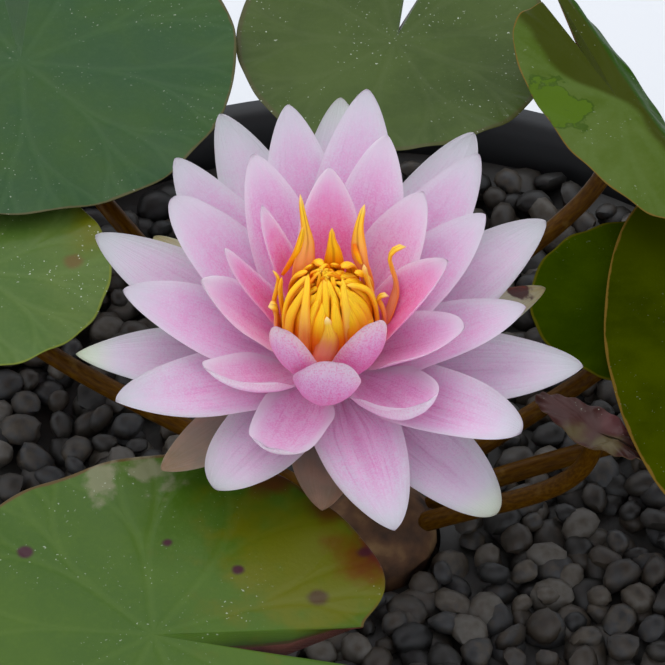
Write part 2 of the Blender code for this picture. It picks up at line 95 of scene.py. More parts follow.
class Shade:
    """One socket of a shader. Arithmetic on it adds Math nodes, and node() adds a node of any other kind."""

    def __init__(self, tree, socket=None):
        self.tree = tree
        self.socket = socket

    def node(self, kind, inputs=None, output=0, stops=(), **settings):
        made = self.tree.nodes.new("ShaderNode" + kind)
        for name, setting in settings.items():
            setattr(made, name, setting)
        if stops:
            elements = made.color_ramp.elements
            elements.remove(elements[1])
            elements[0].position, elements[0].color = stops[0]
            for place, colour in stops[1:]:
                elements.new(place).color = colour
        for name, given in (inputs or {}).items():
            if isinstance(given, Shade):
                self.tree.links.new(given.socket, made.inputs[name])
            else:
                made.inputs[name].default_value = given
        return Shade(self.tree, made.outputs[output])

    def output(self, name):
        """Another output of the node that this one comes from."""
        return Shade(self.tree, self.socket.node.outputs[name])

    def place(self):
        """Where a point of the piece lies in the part's frame, in metres."""
        return self.node("TexCoord", output="Object")

    def own_uv(self):
        """The piece's own u and v, from 0 to 1, and the vector that holds both."""
        both = self.node("UVMap", uv_map="UVMap")
        u = self.node("SeparateXYZ", {"Vector": both}, output="X")
        return u, u.output("Y"), both

    def marked(self, name):
        """The number that mark() gave to the piece under this name."""
        return self.node("Attribute", attribute_name=name, output="Fac")

    def math(self, operation, *others):
        return self.node("Math", dict(enumerate((self, *others))), operation=operation)

    def __add__(self, other):
        return self.math("ADD", other)

    def __sub__(self, other):
        return self.math("SUBTRACT", other)

    def __rsub__(self, other):
        return self.node("Math", {0: other, 1: self}, operation="SUBTRACT")

    def __mul__(self, other):
        return self.math("MULTIPLY", other)

    def __pow__(self, other):
        return self.math("POWER", other)

    def __gt__(self, other):
        return self.math("GREATER_THAN", other)

    __radd__ = __add__

    def rise(self, low, high):
        """0 up to low, 1 from high on, and smooth between them."""
        inputs = {"Value": self, "From Min": low, "From Max": high}
        return self.node("MapRange", inputs, interpolation_type="SMOOTHSTEP")

    def blend(self, at_zero, at_one):
        """The colour between two colours that this value picks."""
        return self.node("Mix", {0: self, 6: at_zero, 7: at_one}, output=2, data_type="RGBA")

    def ramp(self, *stops):
        """The colour that this value picks from a row of (place, colour)."""
        return self.node("ValToRGB", {"Fac": self}, stops=stops)

    def noise(self, scale, detail=2.0):
        """Even noise from 0 to 1 at this vector."""
        return self.node("TexNoise", {"Vector": self, "Scale": scale, "Detail": detail})

    def stretched(self, x, y, z):
        """This vector with each axis multiplied."""
        return self.node("VectorMath", {0: self, 1: (x, y, z)}, operation="MULTIPLY")

    def distance_to(self, x, y, z):
        """How far this place is from a point given in mm, in metres."""
        inputs = {0: self, 1: (x * MM, y * MM, z * MM)}
        return self.node("VectorMath", inputs, operation="DISTANCE", output="Value")

    def along(self, x, y):
        """How far this place lies along a level direction of length 1, in mm."""
        inputs = {0: self, 1: (x / MM, y / MM, 0)}
        return self.node("VectorMath", inputs, operation="DOT_PRODUCT", output="Value")

    def bump(self, distance, strength=1.0):
        """A normal from this height, where 1 stands for distance."""
        return self.node("Bump", {"Height": self, "Distance": distance, "Strength": strength})


def new_finish(name, **fixed):
    """A Principled material with these fixed values, and a Shade that its nodes start from."""
    material = bpy.data.materials.new(name)
    material.use_nodes = True
    shader = material.node_tree.nodes["Principled BSDF"]
    for socket, value in fixed.items():
        shader.inputs[socket.replace("_", " ")].default_value = value
    return material, Shade(material.node_tree)


def feed(material, **sockets):
    """Link what varies over a surface to its shader."""
    shader = material.node_tree.nodes["Principled BSDF"]
    for socket, value in sockets.items():
        material.node_tree.links.new(value.socket, shader.inputs[socket.replace("_", " ")])


def shaped_grid(name, across, along, shape):
    """A grid primitive whose points are moved to shape(u, v), where u and v run from 0 to 1, in metres.

    Points that land on each other are welded, and its own UV map keeps u and v.
    """
    bpy.ops.object.select_all(action="DESELECT")
    bpy.ops.mesh.primitive_grid_add(x_subdivisions=across, y_subdivisions=along, size=1, location=(0, 0, 0))
    piece = bpy.context.object
    piece.name = name
    points = np.empty(3 * len(piece.data.vertices))
    piece.data.vertices.foreach_get("co", points)
    points = points.reshape(-1, 3)
    placed = shape(points[:, 0] + 0.5, points[:, 1] + 0.5)
    piece.data.vertices.foreach_set("co", np.asarray(placed).T.ravel())
    piece.data.update()
    in_edit_mode(piece, SELECT_ALL, (bpy.ops.mesh.remove_doubles, {"threshold": WELD_DISTANCE}))
    return piece


def pick(*pieces):
    """Select just these pieces, with the first of them active."""
    bpy.ops.object.select_all(action="DESELECT")
    for piece in pieces:
        piece.select_set(True)
    bpy.context.view_layer.objects.active = pieces[0]


def in_edit_mode(piece, *operators):
    """Run edit-mode operators on a piece, each given as (operator, settings)."""
    pick(piece)
    bpy.ops.object.mode_set(mode="EDIT")
    for operator, settings in operators:
        operator(**settings)
    bpy.ops.object.mode_set(mode="OBJECT")


def select_faces(piece, wanted):
    """Select just the faces whose middle passes wanted(middle)."""
    in_edit_mode(piece, SELECT_NONE)
    for face in piece.data.polygons:
        face.select = wanted(face.center)


def modify(piece, kind, **settings):
    """Add a modifier and apply it."""
    modifier = piece.modifiers.new(kind.title(), kind)
    for name, setting in settings.items():
        setattr(modifier, name, setting)
    pick(piece)
    bpy.ops.object.modifier_apply(modifier=modifier.name)


def joined(name, pieces):
    """Join pieces into the first of them."""
    pick(*pieces)
    bpy.ops.object.join()
    pieces[0].name = name
    return pieces[0]


def outward(piece):
    """Close the open rings of a piece and turn its faces outwards."""
    in_edit_mode(piece, SELECT_ALL, (bpy.ops.mesh.fill_holes, {"sides": 0}), SELECT_ALL, TURN_OUTWARDS)


NO_CREASE = 180


def finished(piece, material, slot, *nodes, crease=NO_CREASE):
    """Shade a piece, give it its material, and tie it to the CAD nodes that it stands for.

    Edges bent by more than crease, in degrees, stay sharp.
    """
    pick(piece)
    if crease < NO_CREASE:
        bpy.ops.object.shade_smooth_by_angle(angle=math.radians(crease))
    else:
        bpy.ops.object.shade_smooth()
    piece.data.materials.clear()
    piece.data.materials.append(material)
    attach(piece, "root")
    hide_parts(*nodes)


def wall_radius(height):
    """Outer radius of the basket's tapering wall, in metres."""
    return FLOOR_RADIUS + (TOP_RADIUS - FLOOR_RADIUS) * height / BASKET_HEIGHT


def column_angles():
    """The angles of the wall's upright lines: the middle of each rib, its two sides, and the mesh between."""
    pitch = 2 * math.pi / COLUMNS
    stops = []
    for column in range(COLUMNS):
        start = (column + RIB_SHARE / 2) * pitch
        stops += [column * pitch]
        stops += [start + pitch * (1 - RIB_SHARE) * cell / CELLS_ACROSS for cell in range(CELLS_ACROSS + 1)]
    return np.array(stops + [2 * math.pi])


def wall_heights():
    """The heights of the wall's level lines: the edges and the middle of each hoop, and the mesh between."""
    stops = [WALL_FOOT, SLOT_BOTTOM / 2]
    for row in range(ROWS):
        low = SLOT_BOTTOM + row * (SLOT_HEIGHT + HOOP_HEIGHT)
        stops += [low + SLOT_HEIGHT * cell / CELLS_UP for cell in range(CELLS_UP + 1)]
        stops += [low + SLOT_HEIGHT + HOOP_HEIGHT / 2]
    return stops + WALL_SHOULDERS


def turned_sheet(name, profile, depth):
    """A sheet turned round Z from a profile of (radius, height), set in by depth."""
    angles = column_angles()
    radii = np.array([radius for radius, height in profile])
    heights = np.array([height for radius, height in profile])

    def shape(u, v):
        angle = angles[np.round(u * (len(angles) - 1)).astype(int)]
        step = np.round(v * (len(profile) - 1)).astype(int)
        radius = np.maximum(radii[step] - depth, 0)
        return radius * np.cos(angle), radius * np.sin(angle), heights[step]

    return shaped_grid(name, len(angles) - 1, len(profile) - 1, shape)


def in_a_window(middle):
    """True for a point of the wall that lies between two ribs and two hoops."""
    turn = math.atan2(middle.y, middle.x) / (2 * math.pi) * COLUMNS
    row_height = SLOT_HEIGHT + HOOP_HEIGHT
    row, above = divmod(middle.z - SLOT_BOTTOM, row_height)
    off_rib = abs(turn - round(turn)) > RIB_SHARE / 2
    on_wall = middle.xy.length > FLOOR_RADIUS * FLOOR_FACE_SHARE
    return on_wall and off_rib and 0 <= row < ROWS and above < SLOT_HEIGHT


def basket_frame():
    """Floor, ribs, hoops and rolled lip as one sheet with open windows, thickened inwards."""
    wall = [(wall_radius(height), height) for height in wall_heights()]
    floor = [(radius * MM, height * MM) for radius, height in FLOOR_PROFILE]
    lip = [(radius * MM, height * MM) for radius, height in LIP_PROFILE]
    sheet = turned_sheet("pond_basket", floor + wall + lip, 0)
    select_faces(sheet, in_a_window)
    in_edit_mode(sheet, DELETE_FACES, SELECT_ALL, TURN_INWARDS)
    lowest = min(sheet.data.polygons, key=lambda face: face.center.z)
    if lowest.normal.z > 0:
        sheet.data.flip_normals()
    modify(sheet, "SOLIDIFY", thickness=FRAME_WALL, offset=-1, use_even_offset=True)
    modify(sheet, "BEVEL", width=EDGE_BEVEL, segments=2, limit_method="ANGLE", angle_limit=SHARP_BEND)
    return sheet


def basket_mesh():
    """The fine mesh of the windows: each cell is inset and its middle is taken out."""
    window_heights = wall_heights()[2:-3]
    wall = [(wall_radius(height), height) for height in window_heights]
    sheet = turned_sheet("window_mesh", wall, MESH_DEPTH)
    select_faces(sheet, lambda middle: not in_a_window(middle))
    inset = (bpy.ops.mesh.inset, {"thickness": STRAND_HALF_WIDTH, "use_individual": True})
    in_edit_mode(sheet, DELETE_FACES, SELECT_ALL, inset, DELETE_FACES, SELECT_ALL, TURN_OUTWARDS)
    face = max(sheet.data.polygons, key=lambda face: face.center.x)
    if face.normal.x < 0:
        sheet.data.flip_normals()
    modify(sheet, "SOLIDIFY", thickness=MESH_WALL, offset=-1, use_even_offset=True)
    return sheet


plastic, start = new_finish("black_plastic", Specular_IOR_Level=0.45)
place = start.place()
grain = place.noise(900, 3)
wear = place.noise(35, 4)
feed(
    plastic,
    Base_Color=wear.ramp((0.3, srgb(26, 27, 28)), (0.7, srgb(40, 41, 42))),
    Roughness=0.42 + wear * 0.25,
    Normal=grain.bump(0.08 * MM, 0.5),
)
basket = joined("pond_basket", [basket_frame(), basket_mesh()])
finished(basket, plastic, "basket", "basket", crease=BASKET_CREASE)

# Soil
# A block of dark planting soil that fills the basket behind its mesh. It is pressed in by hand, so its side
# is lumpy.

SOIL_BOTTOM = 2.8 * MM
SOIL_TOP = 104 * MM
SOIL_GAP = 0.7 * MM
SOIL_LUMP = 1.1 * MM
SOIL_LUMP_SIZE = 7 * MM
SOIL_ROUND = 240
SOIL_STEPS = 110
SOIL_SIDE_START = 0.17
SOIL_SIDE_SPAN = 0.66
LUMPS_START = 0.18
LUMPS_END = 0.82

# How far out the soil reaches from the middle of its underside, round its side, to the middle of its top
SOIL_STOPS = [0, 0.14, 0.2, 0.8, 0.86, 1]
SOIL_REACH = [0, 0.9, 1, 1, 0.9, 0]


def lumps(points, size, depth):
    """Uneven depths from 0 to depth at these points, with lumps of about this size."""
    return np.array([depth * (0.5 + 0.5 * noise.fractal(Vector(p) / size, 0.6, 2.0, 3)) for p in points])


def soil_shape(u, v):
    reach = np.interp(v, SOIL_STOPS, SOIL_REACH)
    height = SOIL_BOTTOM + (SOIL_TOP - SOIL_BOTTOM) * np.clip((v - SOIL_SIDE_START) / SOIL_SIDE_SPAN, 0, 1)
    angle = 2 * math.pi * u
    limit = wall_radius(height) - FRAME_WALL - SOIL_GAP
    rim = np.stack([limit * np.cos(angle), limit * np.sin(angle), height])
    side = (v > LUMPS_START) & (v < LUMPS_END)
    radius = reach * limit - np.where(side, lumps(rim.T, SOIL_LUMP_SIZE, SOIL_LUMP), 0)
    return radius * np.cos(angle), radius * np.sin(angle), height


earth, start = new_finish("planting_soil", Specular_IOR_Level=0.3)
place = start.place()
crumbs = place.noise(420, 6)
clods = place.noise(90, 4)
feed(
    earth,
    Base_Color=crumbs.ramp((0.32, srgb(24, 18, 13)), (0.55, srgb(56, 43, 32)), (0.75, srgb(88, 70, 52))),
    Roughness=0.75 + clods * 0.2,
    Normal=(crumbs + clods * 1.5).bump(1.2 * MM, 0.9),
)
soil = shaped_grid("soil_block", SOIL_ROUND, SOIL_STEPS, soil_shape)
outward(soil)
finished(soil, earth, "soil", "soil")

# Gravel
# Dark rounded pond grit that keeps the soil down. Loose stones in two layers lie on a bed of smaller ones.
# They are wet, so they are dark and have a soft shine.

GRAVEL_HOLE_RADIUS = 15.5 * MM
GRAVEL_BED_TOP = 112.5 * MM
GRAVEL_BANK_TOP = 116 * MM
STONE_RADIUS = 4.9 * MM
STONE_SIDES = 9
STONE_BLUNTNESS = 7
STONE_CUTS = (0.62, 0.95)
STONE_KINDS = 12
STONE_SIZES = (0.62, 1.18)
STONE_WIDTHS = (0.7, 1)
STONE_FLATNESS = 0.68
STONE_TIP = 0.5
STONE_SPACING = 7.3 * MM
SPIRAL_STEP = STONE_SPACING * 0.56
STONE_OVERLAP = 0.8
STONE_CREASE = 40
STONE_SEED = 7
GOLDEN_ANGLE = math.pi * (3 - math.sqrt(5))
BED_GAP = 0.3 * MM
BED_SIDE = 0.1
BED_ROUND = 120
BED_STEPS = 10
BANK_START = 0.8
BANK_END = 0.9
BED_TONE = 0.15

# How far the stones stray and how far the bank lifts them, in mm
STONE_SHAKE = 0.9
STONE_BANK_LIFT = 2.4

# The share of STONE_SHAKE that counts for their heights
STONE_LEVEL_SHAKE = 0.6

# Each layer of stones: its height in mm, its turn in radians and the size of its stones
STONE_LAYERS = [(113.0, 0.0, 1.05), (115.8, 0.37, 1.0)]


def bed_shape(u, v):
    inside = GRAVEL_HOLE_RADIUS
    bottom = SOIL_TOP + BED_GAP
    heights = [bottom, GRAVEL_BED_TOP, GRAVEL_BED_TOP, GRAVEL_BANK_TOP, bottom]
    height = np.interp(v, [0, BED_SIDE, BANK_START, BANK_END, 1], heights)
    outside = wall_radius(height) - FRAME_WALL - BED_GAP
    radius = inside + (outside - inside) * np.interp(v, [BED_SIDE, BANK_END], [0, 1])
    angle = 2 * math.pi * u
    return radius * np.cos(angle), radius * np.sin(angle), height


def stone_form(chance):
    """The points of one worn, blunt-cornered stone about the origin, and its faces.

    It is a ball cut back by flat sides that blend at the corners.
    """
    bpy.ops.object.select_all(action="DESELECT")
    bpy.ops.mesh.primitive_ico_sphere_add(subdivisions=2, radius=1, location=(0, 0, 0))
    form = bpy.context.object
    ways = np.array([vert.co.normalized() for vert in form.data.vertices])
    sides = chance.normal(size=(STONE_SIDES, 3))
    sides /= np.linalg.norm(sides, axis=1)[:, None]
    depths = chance.uniform(*STONE_CUTS, STONE_SIDES)
    cuts = np.maximum(ways @ sides.T, 0) / depths
    points = ways / (1 + (cuts**STONE_BLUNTNESS).sum(axis=1, keepdims=True)) ** (1 / STONE_BLUNTNESS)
    faces = [tuple(face.vertices) for face in form.data.polygons]
    bpy.data.objects.remove(form)
    return points, np.array(faces)


def stone_places(chance):
    """Where each stone lies, spread like the seeds of a sunflower and then shaken about."""
    places = []
    for height, turn, size in STONE_LAYERS:
        inside = GRAVEL_HOLE_RADIUS + STONE_RADIUS * STONE_OVERLAP
        outside = wall_radius(height * MM) - FRAME_WALL - STONE_RADIUS * STONE_OVERLAP
        for number in range(int((outside / SPIRAL_STEP) ** 2) + 1):
            radius = SPIRAL_STEP * math.sqrt(number)
            if radius > inside:
                angle = number * GOLDEN_ANGLE + turn
                shake = chance.normal(0, STONE_SHAKE, 3)
                x = radius * math.cos(angle) + shake[0] * MM
                y = radius * math.sin(angle) + shake[1] * MM
                reach = math.hypot(x, y)
                keep = min(1, outside / reach)
                on_bank = float(np.interp(reach / outside, [BANK_START, BANK_END], [0, 1]))
                level = height + STONE_BANK_LIFT * on_bank + shake[2] * STONE_LEVEL_SHAKE
                places.append((x * keep, y * keep, level * MM, size))
    return places


def stone_heap():
    """All the loose stones as one mesh, each a turned and flattened copy of one of a few stones."""
    chance = np.random.default_rng(STONE_SEED)
    forms = [stone_form(chance) for kind in range(STONE_KINDS)]
    all_points, all_faces, all_tones = [], [], []
    count = 0
    for x, y, z, size in stone_places(chance):
        points, faces = forms[chance.integers(len(forms))]
        radius = STONE_RADIUS * size * chance.uniform(*STONE_SIZES)
        radii = radius * np.array([1, chance.uniform(*STONE_WIDTHS), STONE_FLATNESS])
        turn = Matrix.Rotation(chance.uniform(0, 2 * math.pi), 3, "Z")
        tip = Matrix.Rotation(chance.normal(0, STONE_TIP), 3, "X")
        placed = (points * radii) @ np.array(turn @ tip).T + (x, y, z)
        all_points.append(placed)
        all_faces.append(faces + count)
        all_tones.append(np.full(len(points), chance.uniform()))
        count += len(points)
    mesh = bpy.data.meshes.new("loose_stones")
    mesh.from_pydata(np.concatenate(all_points).tolist(), [], np.concatenate(all_faces).tolist())
    heap = bpy.data.objects.new("loose_stones", mesh)
    bpy.context.scene.collection.objects.link(heap)
    mark(heap, "tone", np.concatenate(all_tones))
    return heap


def mark(piece, name, value):
    """Give a piece's points a number that its material reads."""
    layer = piece.data.attributes.new(name, "FLOAT", "POINT")
    values = np.broadcast_to(np.asarray(value, float), len(piece.data.vertices))
    layer.data.foreach_set("value", np.ascontiguousarray(values))


grit, start = new_finish("wet_grit", Specular_IOR_Level=0.5)
place = start.place()
tone = start.marked("tone")
mottle = place.noise(450, 5)
feed(
    grit,
    Base_Color=(tone + (mottle - 0.5) * 0.5).ramp(
        (0.0, srgb(26, 25, 23)),
        (0.3, srgb(44, 40, 34)),
        (0.5, srgb(60, 51, 40)),
        (0.7, srgb(46, 46, 46)),
        (0.85, srgb(74, 65, 53)),
        (1.0, srgb(92, 87, 79)),
    ),
    Roughness=0.38 + mottle * 0.3,
    Normal=mottle.bump(0.25 * MM, 0.6),
)
bed = shaped_grid("gravel_bed", BED_ROUND, BED_STEPS, bed_shape)
mark(bed, "tone", BED_TONE)
in_edit_mode(bed, SELECT_ALL, TURN_OUTWARDS)
gravel = joined("gravel_stones", [stone_heap(), bed])
finished(gravel, grit, "gravel", "gravel", crease=STONE_CREASE)

# Rhizome, flower stalk and receptacle
# The plant's brown, knobbly rhizome stands in the gravel. The smooth flower stalk grows from it, bends up to
# the flower and widens into the receptacle that carries the petals. It is one grown piece.

RHIZOME_HEIGHTS = [104.3, 106, 110, 114, 117, 119.5, 121.5, 123.2, 124.6, 125.6]
RHIZOME_RADII = [12, 13.4, 14.2, 14.3, 14, 13, 11.2, 8.8, 6.4, 4.6]
FLOWER_STALK_RADIUS = 3.6
FLOWER_STALK_FOOT = Vector((0, 0, 127))
FLOWER_STALK_BEND = 22
FLOWER_BASE = Vector((-8, -14, 179))
FLOWER_LEAN = 6
RECEPTACLE_HEIGHTS = [-6, -4, -2, -0.6, 0.6, 2, 4, 6, 8, 9.4, 10.2]
RECEPTACLE_RADII = [3.7, 4.0, 4.6, 5.5, 6.1, 6.2, 5.9, 5.6, 5.2, 4.4, 2.2]
KNOB_DEPTH = 2.2
KNOB_RADIUS = 14
KNOB_SIZE = 5
SMALL_KNOB_SIZE = 2.2
KNOBS_END = 126
KNOBS_FADE = 6
FLOWER_STALK_STEPS = 40
STEPS_IN_RECEPTACLE = 4
STALK_SWELLING = 0.6
SWELLING_FADE = 12
CROWN_ROUND = 40

up = Vector((0, 0, 1))
lean = Matrix.Rotation(math.radians(FLOWER_LEAN), 3, "X") @ up


def bezier(first, second, third, fourth, t):
    """Points at t on the curve of four control points."""
    t = np.asarray(t)[..., None]
    weights = ((1 - t) ** 3, 3 * t * (1 - t) ** 2, 3 * t * t * (1 - t), t**3)
    return sum(weight * np.array(point) for weight, point in zip(weights, (first, second, third, fourth)))


def tube_round(line, radii, turns, steps):
    """Points of a tube of these radii round a climbing line, at each turn (0 to 1) and step of the line."""
    ahead = np.gradient(line, axis=0)
    ahead /= np.linalg.norm(ahead, axis=1)[:, None]
    side = np.cross(ahead, (0, 1, 0))
    side /= np.linalg.norm(side, axis=1)[:, None]
    other = np.cross(ahead, side)
    angle = 2 * math.pi * turns
    ring = np.cos(angle)[:, None] * side[steps] + np.sin(angle)[:, None] * other[steps]
    return line[steps] + ring * radii[steps, None]


def crown_line():
    """The middle line from the rhizome's foot to the receptacle's top, and its radii, in mm."""
    line = [(0, 0, height) for height in RHIZOME_HEIGHTS]
    radii = list(RHIZOME_RADII)
    shares = np.linspace(0, 1, FLOWER_STALK_STEPS)[:-STEPS_IN_RECEPTACLE]
    bend_low = FLOWER_STALK_FOOT + up * FLOWER_STALK_BEND
    bend_high = FLOWER_BASE - lean * FLOWER_STALK_BEND
    line += bezier(FLOWER_STALK_FOOT, bend_low, bend_high, FLOWER_BASE, shares).tolist()
    radii += [FLOWER_STALK_RADIUS + STALK_SWELLING * math.exp(-share * SWELLING_FADE) for share in shares]
    for height, radius in zip(RECEPTACLE_HEIGHTS, RECEPTACLE_RADII):
        line.append(tuple(FLOWER_BASE + lean * height))
        radii.append(radius)
    return np.array(line), np.array(radii)


def crown_shape(u, v):
    line, radii = crown_line()
    steps = np.round(v * (len(line) - 1)).astype(int)
    points = tube_round(line, radii, u, steps)
    knobbly = np.clip((KNOBS_END - points[:, 2]) / KNOBS_FADE, 0, 1)
    for number, (point, middle, share) in enumerate(zip(points, line[steps], knobbly)):
        if share > 0:
            knob = noise.noise(Vector(point) / KNOB_SIZE) + 0.5 * noise.noise(Vector(point) / SMALL_KNOB_SIZE)
            points[number] = point + (point - middle) / KNOB_RADIUS * knob * KNOB_DEPTH * share
    return points.T * MM


rhizome_skin, start = new_finish("rhizome_skin", Specular_IOR_Level=0.35)
place = start.place()
height = start.node("SeparateXYZ", {"Vector": place}, output="Z")
blotches = place.noise(160, 5)
streaks = place.stretched(1, 1, 0.12).noise(500, 3)
bark = blotches.ramp((0.3, srgb(44, 28, 18)), (0.55, srgb(92, 62, 38)), (0.75, srgb(128, 98, 62)))
stalk = streaks.ramp((0.3, srgb(104, 62, 30)), (0.6, srgb(134, 92, 44)), (0.8, srgb(122, 112, 56)))
smoothness = height.rise(124 * MM, 132 * MM)
feed(
    rhizome_skin,
    Base_Color=smoothness.blend(bark, stalk),
    Roughness=0.7 - smoothness * 0.3 + blotches * 0.15,
    Normal=(blotches + streaks * 0.5).bump(0.5 * MM, 0.8),
)
crown = shaped_grid("rhizome_and_flower_stalk", CROWN_ROUND, len(crown_line()[0]) - 1, crown_shape)
outward(crown)
finished(crown, rhizome_skin, "crown", "crown")

# Leaves
# Round, leathery floating leaves with one deep notch. Each has a waxy green upper side, a purple underside
# with raised forking veins, and marks of a season in a pond. Each is one sheet that thins to its rim.

LEAF_THICKNESS = 1.2
LEAF_RINGS = 24
LEAF_SPOKES = 288
LARGEST_LEAF = 47.5
NOTCH_HALF_ANGLE = 7
LOBE_ROUNDING = 0.15
LOBE_WIDTH = 8.0
LEAF_THINNING = 0.35
RIM_WAVE = 0.006
RIM_RIPPLE = 0.004
RIM_RUFFLE = 0.35
BLADE_RUFFLE = 0.25
CREASE_LENGTH = 2.5
VEINS = 9
VEIN_WIDTH = 1.5
VEIN_NARROWING = 0.9
UNDER_VEIN_DEPTH = 0.55
UNDER_VEIN_FLATTENING = 0.6
UPPER_VEIN_DEPTH = 0.07

# Where along a vein it forks, as a share of the way out, and how far apart the branches end
FORKS = [(0.30, 0.27), (0.58, 0.13), (0.80, 0.065)]


class Leaf:
    """One floating leaf. Lengths in mm, angles in degrees, slopes as rise over run.

    Past its fold line a leaf is narrower by fold_share and bent down by fold_angle. swing says how far its
    stalk swings out before it meets the blade.
    """

    stretch, stretch_azimuth = 1.0, 0
    slope_x, slope_y = 0, 0
    rim_lift, wave, waves = 0.6, 0.6, 3
    fold_azimuth, fold_offset, fold_angle, fold_share = 0, 0, 0, 1.0
    swing = (0, 0)

    def __init__(self, name, x, y, height, radius, notch, stalk_azimuth, slot, **more):
        self.name, self.x, self.y, self.height, self.radius = name, x, y, height, radius
        self.notch, self.stalk_azimuth, self.slot = notch, stalk_azimuth, slot
        for trait, value in more.items():
            setattr(self, trait, value)

    def rise(self, across, along):
        """Height above the leaf's own level at a point given from its middle."""
        share = np.minimum(np.hypot(across, along) / self.radius, 1)
        angle = np.arctan2(along, across)
        height = across * self.slope_x + along * self.slope_y
        height += self.rim_lift * share**4
        height += self.wave * share**2 * np.sin(self.waves * angle + self.notch)
        return height

    def folded(self, across, along, height):
        """The same points once the blade is bent down past its fold line, in a soft crease."""
        if self.fold_angle == 0:
            return across, along, height
        fold = math.radians(self.fold_azimuth)
        bend = math.radians(self.fold_angle)
        cos, sin = math.cos(fold), math.sin(fold)
        past = np.maximum(across * cos + along * sin - self.fold_offset, 0)
        length = past * self.fold_share
        turned = bend * np.minimum(length / CREASE_LENGTH, 1)
        straight = np.maximum(length - CREASE_LENGTH, 0)
        reach = CREASE_LENGTH / bend * np.sin(turned) + straight * math.cos(bend)
        drop = CREASE_LENGTH / bend * (1 - np.cos(turned)) + straight * math.sin(bend)
        return across + (reach - past) * cos, along + (reach - past) * sin, height - drop


LEAVES = [
    Leaf("top_left", -76, 87, 170, 47.5, 95, 132, "leaf_green"),
    Leaf("left", -82, 27, 166, 28, 175, 168, "leaf_yellow_green"),
    Leaf("front_left", -42, -73, 170, 45, 354, 239, "leaf_yellow_green",
         stretch=1.05, stretch_azimuth=20, waves=4),
    Leaf("top", 6, 97, 167, 35, 75, 108, "leaf_olive"),
    Leaf("top_right", 53.2, 66.1, 179, 17, 113.3, 84, "leaf_green",
         stretch=2.35, stretch_azimuth=113.3, rim_lift=1.0, waves=2,
         fold_azimuth=23.3, fold_offset=3, fold_angle=50, fold_share=0.5, swing=(6, -14)),
    Leaf("right", 90, 4, 170, 42, 350, 0, "leaf_olive",
         stretch=1.55, stretch_azimuth=93, slope_x=0.08, slope_y=-0.04, rim_lift=1.5, wave=1.0),
    Leaf("low", 57.5, 22, 162, 24, 8, 20, "leaf_dark"),
    Leaf("old", 45.6, -15.5, 164, 5.3, -39, 334, "leaf_old",
         stretch=2.8, stretch_azimuth=-39, rim_lift=1.2, wave=0.8),
]


def smooth(value):
    value = np.clip(value, 0, 1)
    return value * value * (3 - 2 * value)


def vein_distance(turn, share):
    """How far a point lies from the nearest forking vein, in steps of one main vein."""
    distance = np.abs((turn * VEINS) % 1 - 0.5)
    for fork_start, spread in FORKS:
        distance = np.abs(distance - spread * smooth((share - fork_start) / (1 - fork_start)))
    return distance


def leaf_shape(leaf):
    def shape(u, v):
        share = np.sin(math.pi * v)
        upper = np.where(v < 0.5, 1, -1)
        half_notch = math.radians(NOTCH_HALF_ANGLE)
        angle = math.radians(leaf.notch) + half_notch + u * 2 * (math.pi - half_notch)
        from_notch = np.minimum(u, 1 - u) * 2 * math.pi * leaf.radius
        rounding = 1 - LOBE_ROUNDING * np.exp(-((from_notch / LOBE_WIDTH) ** 2)) * share**2
        uneven = 1 + RIM_WAVE * np.sin(5 * angle + leaf.x) + RIM_RIPPLE * np.sin(11 * angle + leaf.y)
        reach = leaf.radius * share * rounding * uneven
        across = reach * np.cos(angle)
        along = reach * np.sin(angle)
        long_way = math.radians(leaf.stretch_azimuth)
        extra = (leaf.stretch - 1) * (across * math.cos(long_way) + along * math.sin(long_way))
        across = across + extra * math.cos(long_way)
        along = along + extra * math.sin(long_way)
        height = leaf.rise(across, along)
        ruffle = RIM_RUFFLE * share**6 * np.sin(17 * angle + leaf.x)
        height += ruffle + BLADE_RUFFLE * share**3 * np.sin(7 * angle + leaf.y)
        vein_gap = vein_distance(u, share) * 2 * math.pi * leaf.radius * share / VEINS
        fineness = math.sqrt(leaf.radius / LARGEST_LEAF)
        vein_width = (VEIN_WIDTH - VEIN_NARROWING * share) * fineness
        vein = np.exp(-((vein_gap / vein_width) ** 2)) * (1 - share**8)
        under_depth = UNDER_VEIN_DEPTH * (1 - UNDER_VEIN_FLATTENING * share)
        vein_depth = np.where(upper < 0, under_depth, UPPER_VEIN_DEPTH)
        thick = LEAF_THICKNESS / 2 * np.sqrt(np.maximum(1 - share**10, 0)) * (1 - LEAF_THINNING * share)
        height += upper * thick - vein_depth * vein * fineness
        across, along, height = leaf.folded(across, along, height)
        return (leaf.x + across) * MM, (leaf.y + along) * MM, (leaf.height + height) * MM

    return shape


